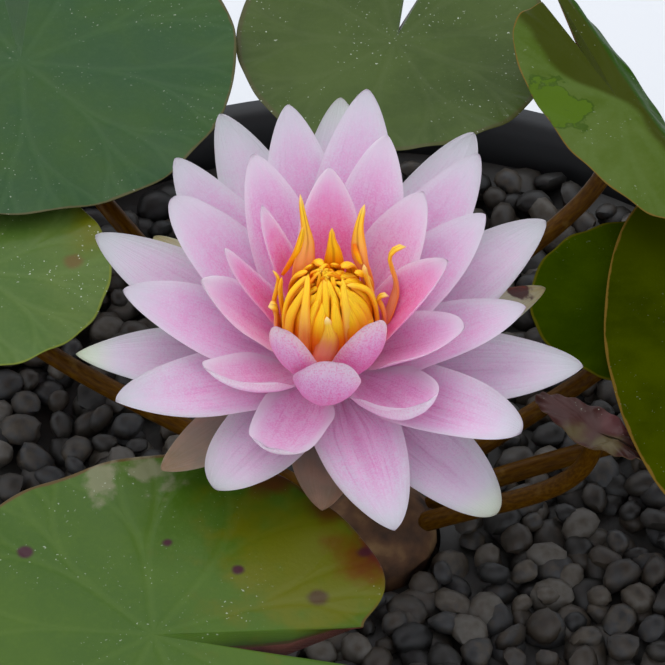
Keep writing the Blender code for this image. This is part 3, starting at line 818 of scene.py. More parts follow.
def leaf_finish(
    leaf, top, shaded, vein, rim, margin=0.96, veined=0.14, specks=0.3, shine=0.15, marks=(), crease=None
):
    """A leaf's two sides: top and shaded are its greens, rim its margin, and marks its spots and patches.

    margin is where the rim's colour starts, 0 at the middle and 1 at the edge. Each mark comes from patch(),
    and crease has the painted shade colours: the shade in the fold and the darker half past it.
    """
    material, start = new_finish("leaf_" + leaf.name, Specular_IOR_Level=shine)
    place = start.place()
    turn, around, _ = start.own_uv()
    share = (around * math.pi).math("SINE")
    under = around > 0.5
    cloud = place.noise(38, 4)
    fine = place.noise(900, 3)
    mottle = place.noise(160, 5)
    gap = (turn * VEINS).math("FRACT").math("SUBTRACT", 0.5).math("ABSOLUTE")
    for fork_start, spread in FORKS:
        gap = (gap - share.rise(fork_start, 1) * spread).math("ABSOLUTE")
    gap = gap * share * (2 * math.pi * leaf.radius / VEINS)
    veins = 1 - gap.rise(0.1, 1.3)
    colour = (cloud + (mottle - 0.5) * 0.4).rise(0.3, 0.7).blend(shaded, top)
    colour = (veins * veined).blend(colour, vein)
    colour = (fine.rise(0.45, 0.75) * 0.12).blend(colour, vein)
    # Painted shade: an olive wedge along the fold, and a darker green on the half bent down past it.
    if crease:
        fold = math.radians(leaf.fold_azimuth)
        cos, sin = math.cos(fold), math.sin(fold)
        past = place.along(cos, sin) - (leaf.x * cos + leaf.y * sin + leaf.fold_offset)
        onward = place.along(-sin, cos) - (leaf.y * cos - leaf.x * sin)
        width = onward.rise(-6, 16) * 11 + 1
        fold_shade = (past + width + (cloud - 0.5) * 4 + (mottle - 0.5) * 2).rise(-1, 1)
        colour = (fold_shade * 0.85).blend(colour, crease[0])
        colour = past.rise(0.6, 1.6).blend(colour, crease[1])
    border = (share + (mottle - 0.5) * 0.03).rise(margin, margin / 2 + 0.5)
    colour = (border * 0.8).blend(colour, rim)
    for mark_colour, x, y, radius, sharpness, strength, raggedness in marks:
        away = place.distance_to(x, y, leaf.height)
        ragged = away + (mottle - 0.5) * (radius * raggedness * MM) + (cloud - 0.5) * (radius * 0.5 * MM)
        inside = 1 - ragged.rise(radius * MM * sharpness, radius * MM)
        colour = (inside * strength).blend(colour, mark_colour)
    speck = place.noise(1500, 1).rise(0.71, 0.76) * place.noise(60, 2).rise(0.45, 0.62)
    colour = (speck * specks).blend(colour, srgb(205, 210, 190))
    purple = mottle.rise(0.3, 0.7).blend(srgb(96, 44, 46), srgb(124, 66, 56))
    purple = (veins * 0.55).blend(purple, srgb(128, 118, 70))
    feed(
        material,
        Base_Color=under.blend(colour, purple),
        Roughness=0.28 + (fine - 0.5) * 0.2 + cloud * 0.1 + speck * 0.3,
        Normal=(fine * 0.4 + mottle - veins * 0.5).bump(0.18 * MM, 0.5),
    )
    return material


def patch(colour, x, y, radius, sharpness, strength, raggedness=0.9):
    """A mark on a leaf, with its middle and radius in mm in the part's frame.

    It is full up to sharpness times its radius and gone at the radius. raggedness is how uneven its edge is.
    """
    return colour, x, y, radius, sharpness, strength, raggedness


def leaf_looks():
    """The colours and marks of each leaf by name."""
    tan = srgb(112, 84, 34)
    spot = srgb(58, 16, 34)
    beige = srgb(94, 84, 52)
    crust = srgb(132, 126, 100)
    return {
        "top_left": dict(
            top=srgb(48, 76, 26), shaded=srgb(40, 70, 34), vein=srgb(68, 96, 54), rim=srgb(80, 72, 40),
            margin=0.987, specks=0.35,
        ),
        "left": dict(
            top=srgb(82, 102, 40), shaded=srgb(68, 94, 34), vein=srgb(106, 126, 66), rim=srgb(112, 120, 36),
            margin=0.98, specks=0.8,
            marks=[
                patch(srgb(94, 94, 0), -57, 39, 10, 0.3, 0.85),
                patch(srgb(100, 70, 34), -62, 30, 3, 0.4, 0.7),
            ],
        ),
        "front_left": dict(
            top=srgb(66, 92, 16), shaded=srgb(56, 84, 14), vein=srgb(90, 112, 42), rim=srgb(86, 56, 28),
            margin=0.978, specks=0.4,
            marks=[
                patch(srgb(92, 92, 0), -12, -54, 27, 0.3, 0.85, 1.6),
                patch(srgb(92, 48, 0), 0, -52, 10, 0.3, 0.8, 1.4),
                patch(srgb(88, 34, 20), -20, -33, 7, 0.3, 0.8),
                patch(srgb(88, 34, 16), -8, -41, 6, 0.3, 0.7, 1.2),
                patch(crust, -46, -32, 7, 0.4, 0.6, 3.6),
                patch(crust, -53, -34, 5, 0.4, 0.6, 3.6),
                patch(srgb(84, 20, 22), 2.5, -52, 7, 0.3, 0.8, 1.4),
                patch(spot, -67.7, -52.3, 1.9, 0.45, 0.95),
                patch(spot, -39.9, -50.2, 1.5, 0.45, 0.95),
                patch(spot, -26.1, -56.8, 1.7, 0.45, 0.95),
                patch(spot, -1.4, -52, 2.2, 0.4, 0.8),
                patch(spot, -10.5, -63.8, 2.6, 0.4, 0.7),
            ],
        ),
        "top": dict(
            top=srgb(66, 82, 30), shaded=srgb(54, 70, 22), vein=srgb(82, 94, 50), rim=srgb(72, 70, 36),
            specks=0.6,
        ),
        "top_right": dict(
            top=srgb(78, 94, 38), shaded=srgb(66, 84, 20), vein=srgb(94, 112, 62), rim=tan,
            # crease holds painted shade: an olive wedge in the fold and a darker green past it.
            margin=0.985, specks=0.3, shine=0.03, crease=(srgb(48, 52, 0), srgb(38, 66, 0)),
            marks=[
                patch(srgb(38, 64, 0), 38.6, 64, 8.2, 0.84, 0.55, 3.6),
                patch(srgb(76, 100, 18), 38.6, 64, 7.0, 0.86, 0.75, 3.6),
            ],
        ),
        "right": dict(
            top=srgb(54, 62, 0), shaded=srgb(38, 46, 0), vein=srgb(56, 64, 2), rim=tan,
            margin=0.985, veined=0.08, specks=0.1, shine=0.0,
        ),
        "low": dict(
            top=srgb(46, 60, 0), shaded=srgb(34, 48, 0), vein=srgb(42, 58, 0), rim=srgb(76, 70, 12),
            margin=0.97, veined=0.04, specks=0.05, shine=0.0,
        ),
        "old": dict(
            top=srgb(74, 44, 40), shaded=srgb(42, 22, 14), vein=srgb(70, 48, 38), rim=srgb(70, 42, 34),
            veined=0.0, specks=0.8, shine=0.15,
            marks=[
                patch(beige, 41.5, -16, 4.5, 0.3, 0.85, 1.6),
                patch(beige, 47.5, -20, 4.5, 0.3, 0.85, 1.6),
                patch(srgb(96, 54, 54), 49.5, -13.5, 4.5, 0.3, 0.8, 1.6),
            ],
        ),
    }


looks = leaf_looks()
for leaf in LEAVES:
    blade = shaped_grid("leaf_" + leaf.name, LEAF_SPOKES, 2 * LEAF_RINGS, leaf_shape(leaf))
    outward(blade)
    material = leaf_finish(leaf, **looks[leaf.name])
    finished(blade, material, leaf.slot, "pad_" + leaf.name)

# Leaf stalks
# Long amber-brown stalks, one to each leaf, that spread from the shoulder of the rhizome and meet the leaf
# at the end of its notch. Each widens a little where it joins the leaf.

STALK_RADIUS = 2.0
STALK_START_RADIUS = 12.6
STALK_START_HEIGHT = 124
STALK_STEPS = 56
STALK_ROUND = 24
STALK_FLARE = 0.25
FLARE_LENGTH = 0.03
STALK_FOOT_WIDTH = 1.08
STALK_TAPER = 0.12
STALK_BLUNTNESS = 0.6
STALK_SINK = 0.1
LEVEL_START = 0.35
CLIMB_START = 0.45
CLIMB_END = 0.5


def stalk_shape(leaf):
    angle = math.radians(leaf.stalk_azimuth)
    away = Vector((math.cos(angle), math.sin(angle), 0))
    first = away * STALK_START_RADIUS + up * STALK_START_HEIGHT
    underside = leaf.height + float(leaf.rise(0.0, 0.0)) - LEAF_THICKNESS / 2
    last = Vector((leaf.x, leaf.y, underside - STALK_SINK))
    swing = Vector((*leaf.swing, 0))
    last.z -= STALK_RADIUS * swing.length / (last.z - first.z)
    climb = up * (last.z - first.z)
    second = first + away * (last - first).length * LEVEL_START + climb * CLIMB_START
    third = last + swing - climb * CLIMB_END
    shares = np.linspace(0, 1, STALK_STEPS)
    line = bezier(first, second, third, last, shares)
    flare = STALK_FLARE * np.exp(-((1 - shares) / FLARE_LENGTH) ** 2)
    radii = STALK_RADIUS * (STALK_FOOT_WIDTH - STALK_TAPER * shares + flare)
    radii[0] *= STALK_BLUNTNESS

    def shape(u, v):
        steps = np.round(v * (STALK_STEPS - 1)).astype(int)
        return tube_round(line, radii, u, steps).T * MM

    return shape


stalk_skin, start = new_finish("leaf_stalk_skin", Specular_IOR_Level=0.08)
place = start.place()
streaks = start.own_uv()[2].stretched(9, 14, 1).noise(2.4, 4)
blotches = place.noise(220, 4)
stalk_colour = streaks.ramp((0.3, srgb(60, 34, 0)), (0.5, srgb(78, 47, 0)), (0.7, srgb(92, 62, 2)))
feed(
    stalk_skin,
    Base_Color=(blotches.rise(0.62, 0.75) * 0.4).blend(stalk_colour, srgb(118, 90, 40)),
    Roughness=0.34 + blotches * 0.2,
    Normal=(streaks + blotches * 0.4).bump(0.15 * MM, 0.5),
)
for leaf in LEAVES:
    tube = shaped_grid("leaf_stalk_" + leaf.name, STALK_ROUND, STALK_STEPS - 1, stalk_shape(leaf))
    outward(tube)
    finished(tube, stalk_skin, "leaf_stalk", "stalk_" + leaf.name)

# Sepals and petals
# Four leathery sepals lie under the flower, and 35 soft petals stand on the receptacle in rising whorls:
# white ones outside, then lilac, pink and deep pink ones. Each is one cupped blade that thins to its rim.

LEVEL_STEP = 1.15
FIRST_LEVEL = 0.9
BASE_RADIUS_LOW = 6.1
BASE_RADIUS_HIGH = 5.2
TOP_LEVEL = 8
PETAL_THICKNESS = 0.9
SEPAL_THICKNESS = 1.2
PETAL_COLUMNS = 48
PETAL_ROWS = 56
MIDDLE_LINE_STEPS = 200
PETAL_SEED_STEP = 0.137
TIP_CROWDING = 1.5
SECTION_PARTS = 16
SEPAL_BLOT = (30.4, 3.6, 184.6)
PETAL_TRAITS = ("blush", "veined", "frost", "green")
PETAL_FOOT = 0.12
CLAW_WIDTH = 0.5
FOOT_THICKNESS = 0.75
PETAL_RUFFLE = 0.3
MIDDLE_GROOVE = 0.3
MIDDLE_GROOVE_WIDTH = 0.1
SIDE_GROOVES = 0.07
SIDE_GROOVE_RATE = 13
GROOVE_START = 0.2
FLICK_START = 0.68
CUP_FULL = 0.5
CUP_LOST = 0.35
ROLL_FULL = 0.45
ROLL_START = 0.35
ROLL_SPAN = 0.5


class Petal:
    """One petal: where it starts, how it rises, its outline and its looks. Lengths in mm, angles in degrees.

    claw is the share of the length over which its narrow foot widens. flick turns its tip up further, and
    roll turns up one side, the left one where it is negative. blush says how far its pink reaches, veined how
    strong its streaks are, frost how pale its rim is, and green how green its tip is.
    """

    cup, sway, flick, roll = 30, 0, 0, 0
    point, peak, hook, claw = 0.65, 1.0, 1.0, 0.35
    blush, veined, frost, green = 0.5, 0.3, 0.25, 0.0

    def __init__(self, azimuth, level, rise, curl, length, width, **more):
        self.azimuth, self.level, self.rise, self.curl = azimuth, level, rise, curl
        self.length, self.width = length, width
        for trait, value in more.items():
            setattr(self, trait, value)

    def slope(self, t):
        flick = self.flick * smooth((t - FLICK_START) / (1 - FLICK_START))
        return np.radians(self.rise + self.curl * t**self.hook + flick)

    def line(self, t):
        """How far out and up the middle line has come at t, and its slope there."""
        fine = np.linspace(0, 1, MIDDLE_LINE_STEPS)
        slopes = self.slope(fine)
        stride = self.length / (len(fine) - 1)
        out = np.concatenate([[0], np.cumsum((np.cos(slopes[1:]) + np.cos(slopes[:-1])) / 2)]) * stride
        high = np.concatenate([[0], np.cumsum((np.sin(slopes[1:]) + np.sin(slopes[:-1])) / 2)]) * stride
        return np.interp(t, fine, out), np.interp(t, fine, high), self.slope(t)

    def section(self, across, t):
        """How far sideways and up the blade has come at across, -1 to 1, as shares of its half width."""
        arc = math.radians(self.cup) * np.sin(math.pi / 2 * np.minimum(t / CUP_FULL, 1))
        arc = arc * (1 - CUP_LOST * t**3)
        roll = math.radians(abs(self.roll)) * smooth(t / ROLL_FULL)
        aside = lift = 0
        for part in (np.arange(SECTION_PARTS) + 0.5) / SECTION_PARTS:
            inner = across * part
            rolled = smooth((inner * np.sign(self.roll) - ROLL_START) / ROLL_SPAN)
            angle = arc * inner + np.sign(inner) * roll * rolled
            aside = aside + np.cos(angle) * across / SECTION_PARTS
            lift = lift + np.sin(angle) * across / SECTION_PARTS
        return aside, lift


def petal_shape(petal, thickness):
    def shape(u, v):
        across = -np.cos(2 * math.pi * u)
        side = np.where(u < 0.5, 1, -1) * np.where((u == 0) | (u == 1), 0, 1)
        t = 1 - (1 - v) ** TIP_CROWDING
        out, high, slope = petal.line(t)
        claw = CLAW_WIDTH + (1 - CLAW_WIDTH) * smooth(t / petal.claw)
        outline = np.maximum(np.sin(math.pi * (PETAL_FOOT + (1 - PETAL_FOOT) * t**petal.peak)), 0)
        half = petal.width / 2 * outline**petal.point * claw
        aside, lift = petal.section(across, t)
        sideways = half * aside + petal.length * math.radians(petal.sway) * t * t / 2
        lift = half * lift
        fullness = FOOT_THICKNESS + (1 - FOOT_THICKNESS) * smooth(t / 0.3)
        lift += side * thickness / 2 * (1 - across**2) * fullness * (1 - t**3)
        ripple = np.sin(9 * t + 3 * across + petal.azimuth)
        lift += PETAL_RUFFLE * np.abs(across) ** 3 * ripple * smooth(t / 0.5)
        fade = smooth(t / GROOVE_START) * (1 - t)
        lift -= MIDDLE_GROOVE * np.exp(-((across / MIDDLE_GROOVE_WIDTH) ** 2)) * fade
        lift += SIDE_GROOVES * np.cos(SIDE_GROOVE_RATE * across + petal.azimuth) * fade
        climbed = (petal.level - 1) / (TOP_LEVEL - 1)
        base_radius = BASE_RADIUS_LOW + (BASE_RADIUS_HIGH - BASE_RADIUS_LOW) * climbed
        local = np.stack([
            base_radius + out - lift * np.sin(slope),
            sideways,
            FIRST_LEVEL + LEVEL_STEP * petal.level + high + lift * np.cos(slope),
        ])
        return in_flower(local, petal.azimuth)

    return shape


def in_flower(points, azimuth):
    """Points given along a petal's own line, in mm, turned to its azimuth and set on the leaning flower."""
    turn = Matrix.Rotation(math.radians(FLOWER_LEAN), 3, "X") @ Matrix.Rotation(math.radians(azimuth), 3, "Z")
    return (np.array(turn) @ points + np.array(FLOWER_BASE)[:, None]) * MM


def along_petal(start):
    """What a petal's skin follows: u, t from foot to tip, across from -1 to 1, and a vector for its veins."""
    u, v, _ = start.own_uv()
    t = 1 - (1 - v) ** TIP_CROWDING
    across = (u * (2 * math.pi)).math("COSINE")
    flow = start.node("CombineXYZ", {"X": across * 9, "Y": t * 1.6, "Z": start.marked("seed") * 37})
    return u, t, across, flow


def petal_finish(name, front, back, streak, rim, back_edge, speckle=0.15):
    """Petal skin: front and back are (place, colour) stops from foot to tip, and streak colours the veins."""
    material, start = new_finish(
        name,
        Specular_IOR_Level=0.25,
        Subsurface_Weight=0.6,
        Subsurface_Radius=(1.0, 0.55, 0.7),
        Subsurface_Scale=3.0 * MM,
        Sheen_Weight=0.05,
        Sheen_Roughness=0.5,
    )
    place = start.place()
    u, t, across, flow = along_petal(start)
    edge = across.math("ABSOLUTE")
    blush, veined, frost, green = (start.marked(trait) for trait in PETAL_TRAITS)
    veins = flow.noise(1.6, 4)
    soft = flow.noise(0.5, 2)
    grain = place.noise(2800, 3)
    blotch = place.noise(420, 3)
    uneven = (soft - 0.5) * 0.24 + (veins - 0.5) * 0.14 + (blotch - 0.5) * 0.2
    # The front stops are partly painted light: the petal's own pink, made lighter at the foot to stand in for
    # light shining through the crowded feet.
    colour = (t - (blush - 0.5) * 0.5 + uneven).ramp(*front)
    lines = veins.rise(0.5, 0.68) * (1 - edge.rise(0.6, 0.98)) * (1 - t.rise(0.45, 1.0))
    middle = (1 - edge.rise(0.02, 0.2)) * (1 - t.rise(0.25, 0.95))
    colour = (lines * veined + middle * veined * 0.8).blend(colour, streak)
    speckled = 1 - t.rise(0.55, 1.0)
    powder = grain * 0.7 + blotch * 0.3
    colour = ((1 - powder.rise(0.4, 0.52)) * speckled * 0.33).blend(colour, streak)
    colour = (powder.rise(0.5, 0.6) * speckled * 0.3).blend(colour, rim)
    paler = 1 - (1 - edge.rise(0.5, 1.0)) * (1 - (t + (blotch - 0.5) * 0.1).rise(0.78, 0.97))
    colour = (paler * frost).blend(colour, rim)
    colour = (grain.rise(0.5, 0.75) * speckle).blend(colour, rim)
    behind = (t + (veins - 0.5) * 0.3 + (soft - 0.5) * 0.3).ramp(*back)
    behind = (edge.rise(0.45, 0.95) * (1 - t.rise(0.55, 0.9)) * 0.75).blend(behind, back_edge)
    behind = (grain.rise(0.45, 0.6) * 0.4).blend(behind, rim)
    behind = ((1 - grain.rise(0.36, 0.5)) * 0.5).blend(behind, back_edge)
    colour = (u > 0.5).blend(colour, behind)
    colour = (t.rise(0.8, 1.0) * green).blend(colour, srgb(214, 218, 168))
    feed(
        material,
        Base_Color=colour,
        Roughness=0.5 + (grain - 0.5) * 0.2,
        Normal=(veins + grain * 0.25).bump(0.22 * MM, 0.55),
    )
    return material


def sepal_finish():
    """Green outside, pale within, brown where they are spoilt, and a dark blot near the first one's tip."""
    material, start = new_finish(
        "sepal_skin",
        Specular_IOR_Level=0.4,
        Subsurface_Weight=0.15,
        Subsurface_Scale=1.5 * MM,
    )
    place = start.place()
    u, t, _, flow = along_petal(start)
    veins = flow.noise(1.6, 4)
    mottle = place.noise(260, 4)
    inside = (t + (veins - 0.5) * 0.3).ramp(
        (0.3, srgb(212, 204, 200)), (0.8, srgb(176, 170, 146)), (1.0, srgb(150, 138, 92))
    )
    spoilt = mottle.ramp((0.35, srgb(112, 78, 60)), (0.65, srgb(148, 112, 92)))
    inside = (start.marked("brown") * (0.6 + mottle * 0.6)).blend(inside, spoilt)
    outside = (veins * 0.6 + mottle * 0.4).ramp(
        (0.35, srgb(74, 88, 40)), (0.6, srgb(104, 104, 58)), (0.75, srgb(126, 84, 66))
    )
    blot = place.distance_to(*SEPAL_BLOT) + (mottle - 0.5) * (7 * MM)
    blot = 1 - blot.rise(1.9 * MM, 2.9 * MM)
    colour = (u > 0.5).blend(inside, outside)
    feed(
        material,
        Base_Color=blot.blend(colour, srgb(64, 34, 26)),
        Roughness=0.5 + mottle * 0.15,
        Normal=(veins + mottle * 0.5).bump(0.25 * MM, 0.6),
    )
    return material


def whorl(word, petals, thickness, material, slot):
    """Make each petal of a whorl, and mark it with its own looks."""
    blades = []
    for number, petal in enumerate(petals, 1):
        blade = shaped_grid(f"{word}_{number}", PETAL_COLUMNS, PETAL_ROWS, petal_shape(petal, thickness))
        outward(blade)
        mark(blade, "seed", (petal.azimuth * PETAL_SEED_STEP) % 1)
        for trait in PETAL_TRAITS:
            mark(blade, trait, getattr(petal, trait))
        finished(blade, material, slot, f"{slot}_{number}")
        blades.append(blade)
    return blades


SEPALS = [
    Petal(21, -0.4, 2, 10, 41, 13, sway=4),
    Petal(139, -0.4, 2, 10, 42, 14),
    Petal(214, -0.4, -3, 4, 34, 14),
    Petal(267, -0.4, -7, 4, 25, 15),
]
SEPAL_BROWN = [0.1, 0.0, 0.75, 0.9]
sepal_skin = sepal_finish()
sepals = whorl("flower_sepal", SEPALS, SEPAL_THICKNESS, sepal_skin, "sepal")
for blade, brown in zip(sepals, SEPAL_BROWN):
    mark(blade, "brown", brown)

OUTER_PETALS = [
    Petal(28, 2.0, 13, 12, 46.5, 19, sway=5),
    Petal(59, 0.8, 12, 12, 53, 19),
    Petal(88, 2.2, 14, 12, 52.5, 18, green=0.25),
    Petal(110, 0.8, 12, 14, 54, 18, sway=7),
    Petal(156, 2.0, 9, 14, 48.5, 18.5, sway=-5),
    Petal(181, 1.0, 4, 10, 45, 17, point=0.75, green=0.8),
    Petal(235, 0.6, 2, 14, 33.5, 19, cup=40, point=0.45, blush=0.95, veined=0.45),
    Petal(313, 0.4, -3, 8, 41, 19, point=0.5, blush=0.6, veined=0.45, green=0.6),
    Petal(353, 1.2, 6, 12, 45, 19, blush=0.55),
]
white_skin = petal_finish(
    "outer_petal_skin",
    # Painted light in part: the first stops are lighter than the petal's own colour, for light shining
    # through the crowded feet.
    front=[
        (0.0, srgb(252, 208, 238)),
        (0.3, srgb(242, 202, 228)),
        (0.6, srgb(220, 190, 210)),
        (0.95, srgb(206, 188, 200)),
    ],
    back=[(0.0, srgb(206, 160, 188)), (0.4, srgb(202, 182, 196)), (1.0, srgb(200, 192, 196))],
    streak=srgb(204, 144, 184),
    rim=srgb(206, 198, 206),
    back_edge=srgb(196, 172, 190),
)
whorl("petal_outer", OUTER_PETALS, PETAL_THICKNESS, white_skin, "outer_petal")

SECOND_PETALS = [
    Petal(0, 3.4, 18, 18, 36.5, 16, cup=40, sway=4),
    Petal(32, 3.9, 30, 14, 38, 17, cup=40),
    Petal(50, 3.0, 20, 20, 46.5, 17.5),
    Petal(81, 4.7, 26, 19, 50, 18),
    Petal(101, 3.6, 23, 21, 48, 17),
    Petal(132, 2.6, 18, 23, 47, 17),
    Petal(144, 4.2, 26, 17, 40.5, 17, point=0.5),
    Petal(174, 3.5, 16, 16, 39, 18, cup=35, sway=-5),
    Petal(203, 2.8, 10, 14, 41.5, 17.5, cup=35),
    Petal(285, 2.6, 0, 10, 38, 18.5, sway=3, point=0.6, peak=0.8, veined=0.5),
    Petal(325, 3.0, 10, 16, 41, 18, cup=40, point=0.5, veined=0.45),
]
lilac_skin = petal_finish(
    "second_petal_skin",
    # Painted light in part: the first stops are lighter than the petal's own colour, for light shining
    # through the crowded feet.
    front=[
        (0.0, srgb(255, 204, 238)),
        (0.3, srgb(246, 186, 220)),
        (0.6, srgb(222, 182, 208)),
        (0.95, srgb(206, 186, 202)),
    ],
    back=[(0.0, srgb(226, 146, 196)), (0.5, srgb(214, 176, 204)), (1.0, srgb(208, 194, 206))],
    streak=srgb(222, 130, 186),
    rim=srgb(222, 206, 220),
    back_edge=srgb(212, 150, 194),
)
whorl("petal_second", SECOND_PETALS, PETAL_THICKNESS, lilac_skin, "second_petal")

THIRD_PETALS = [
    Petal(49, 6.4, 39, 19, 33.5, 15),
    Petal(71, 5.6, 34, 24, 41.5, 16, blush=0.3),
    Petal(118, 5.1, 34, 24, 39.5, 15),
    Petal(172, 6.2, 30, 26, 28, 14, cup=50),
    Petal(214, 5.4, 12, 54, 29, 13.5, cup=35, sway=-7, point=0.58, hook=1.4, roll=60,
          blush=0.15, frost=0.75),
    Petal(246, 5.1, -6, 72, 29.5, 16.2, cup=48, sway=2, point=0.38, hook=1.9, flick=8,
          blush=0.15, frost=1.0),
    Petal(312, 5.2, 9, 68, 30, 18, cup=38, sway=-2, point=0.62, hook=2, flick=12, roll=-60,
          blush=0.45, frost=0.8),
    Petal(346, 6.4, 25, 25, 27, 15, cup=60, point=0.45, blush=0.6),
]
pink_skin = petal_finish(
    "third_petal_skin",
    # Painted light in part: the first stops are lighter than the petal's own colour, for light shining
    # through the crowded feet.
    front=[
        (0.0, srgb(255, 190, 232)),
        (0.35, srgb(246, 174, 214)),
        (0.7, srgb(228, 178, 209)),
        (1.0, srgb(216, 186, 206)),
    ],
    back=[(0.0, srgb(242, 140, 196)), (0.5, srgb(224, 170, 204)), (1.0, srgb(222, 208, 222))],
    streak=srgb(222, 110, 178),
    rim=srgb(232, 206, 224),
    back_edge=srgb(228, 150, 198),
)
whorl("petal_third", THIRD_PETALS, PETAL_THICKNESS, pink_skin, "third_petal")

INNER_PETALS = [
    Petal(11, 7.1, 43, 22, 30, 14.5, cup=60, sway=-3),
    Petal(91, 7.0, 50, 20, 34.5, 14),
    Petal(132, 8.0, 53, 14, 30, 6.5),
    Petal(158, 7.0, 42, 20, 28, 6.5),
    Petal(242, 8.0, 14, 101, 23.5, 13, cup=50, sway=-18, point=0.43, hook=0.9),
    Petal(262, 6.9, 0, 132, 27.7, 18, cup=66, sway=12, point=0.38, hook=1.2, claw=0.8),
    Petal(293, 8.0, 15, 104, 23.2, 13.2, cup=57, sway=22, point=0.43, hook=0.8),
]
deep_skin = petal_finish(
    "inner_petal_skin",
    # Painted light in part: the first stops are lighter than the petal's own colour, for light shining
    # through the crowded feet.
    front=[
        (0.0, srgb(248, 114, 190)),
        (0.4, srgb(236, 126, 184)),
        (0.75, srgb(224, 150, 190)),
        (1.0, srgb(216, 170, 198)),
    ],
    back=[
        (0.0, srgb(232, 88, 158)),
        (0.5, srgb(216, 106, 168)),
        (0.75, srgb(208, 148, 190)),
        (1.0, srgb(206, 186, 212)),
    ],
    streak=srgb(220, 72, 150),
    rim=srgb(222, 178, 206),
    back_edge=srgb(218, 86, 156),
    speckle=0.1,
)
whorl("petal_inner", INNER_PETALS, PETAL_THICKNESS, deep_skin, "inner_petal")

# Stamens
# Golden straps that stand in rings on the receptacle and bow inwards over it, and broader ones outside, half
# stamen and half petal, with salmon feet and yellow tips. They grow side by side, and are shown as one piece.

STAMEN_ROUND = 14
STAMEN_STEPS = 22
STAMEN_SEED = 11
STAMEN_THICKNESS = 0.8
FULL_THICKNESS_WIDTH = 1.6
LEAST_WIDTH = 0.3
TIP_ROUNDING = 0.05
TIP_SHARPNESS = 0.02
RIDGE_HEIGHT = 0.28
RIDGE_START = 0.3
RIDGE_SPAN = 0.2
STRAP_CURVE = 0.16
RING_SHAKE = 3
RING_SIZES = (0.85, 1.1)
REACH_SHAKE = 0.2
# The hidden rings are darker orange as painted shade, so that the gaps between the outer straps show a
# shadowed orange.
RING_PAINTED_SHADE = 0.7
STAMEN_TRAITS = ("salmon", "ember", "cream", "seed")

# Hidden inner rings: how many, first azimuth, then (reach, height, width) from foot to tip
RINGS = [
    (16, 8, [(4.4, 9.8, 1.8), (7.4, 14.0, 3.2), (8.1, 20.0, 3.6), (6.7, 26.0, 2.8), (3.4, 29.4, 1.2)]),
    (11, 20, [(3.8, 10.0, 1.4), (5.6, 16.0, 2.4), (5.8, 23.0, 2.4), (4.2, 28.0, 1.8), (1.9, 30.2, 0.9)]),
    (7, 5, [(2.4, 10.2, 1.2), (3.6, 18.0, 1.8), (3.6, 26.0, 1.6), (2.2, 30.2, 1.1), (0.8, 31.0, 0.7)]),
]

# Small curled tips at the top: how many, their middle, how far out they start, how they vary, and (share out,
# height, width) from foot to tip
CURLED_TIPS = 14
CURL_MIDDLE = np.array([-1.6, 2.0, 0])
CURL_SPREAD = 2.6
CURL_INNER = 0.4
CURL_EMBER = (0, 0.6)
CURL_TWIST = 0.35
CURL_SHAKE = 0.12
CURL_CREAM = 0.3
CURL_PROFILE = [(1.25, 29.0, 1.0), (1.1, 30.4, 1.0), (0.75, 31.4, 0.9), (0.4, 31.9, 0.8), (0.1, 31.6, 0.5)]

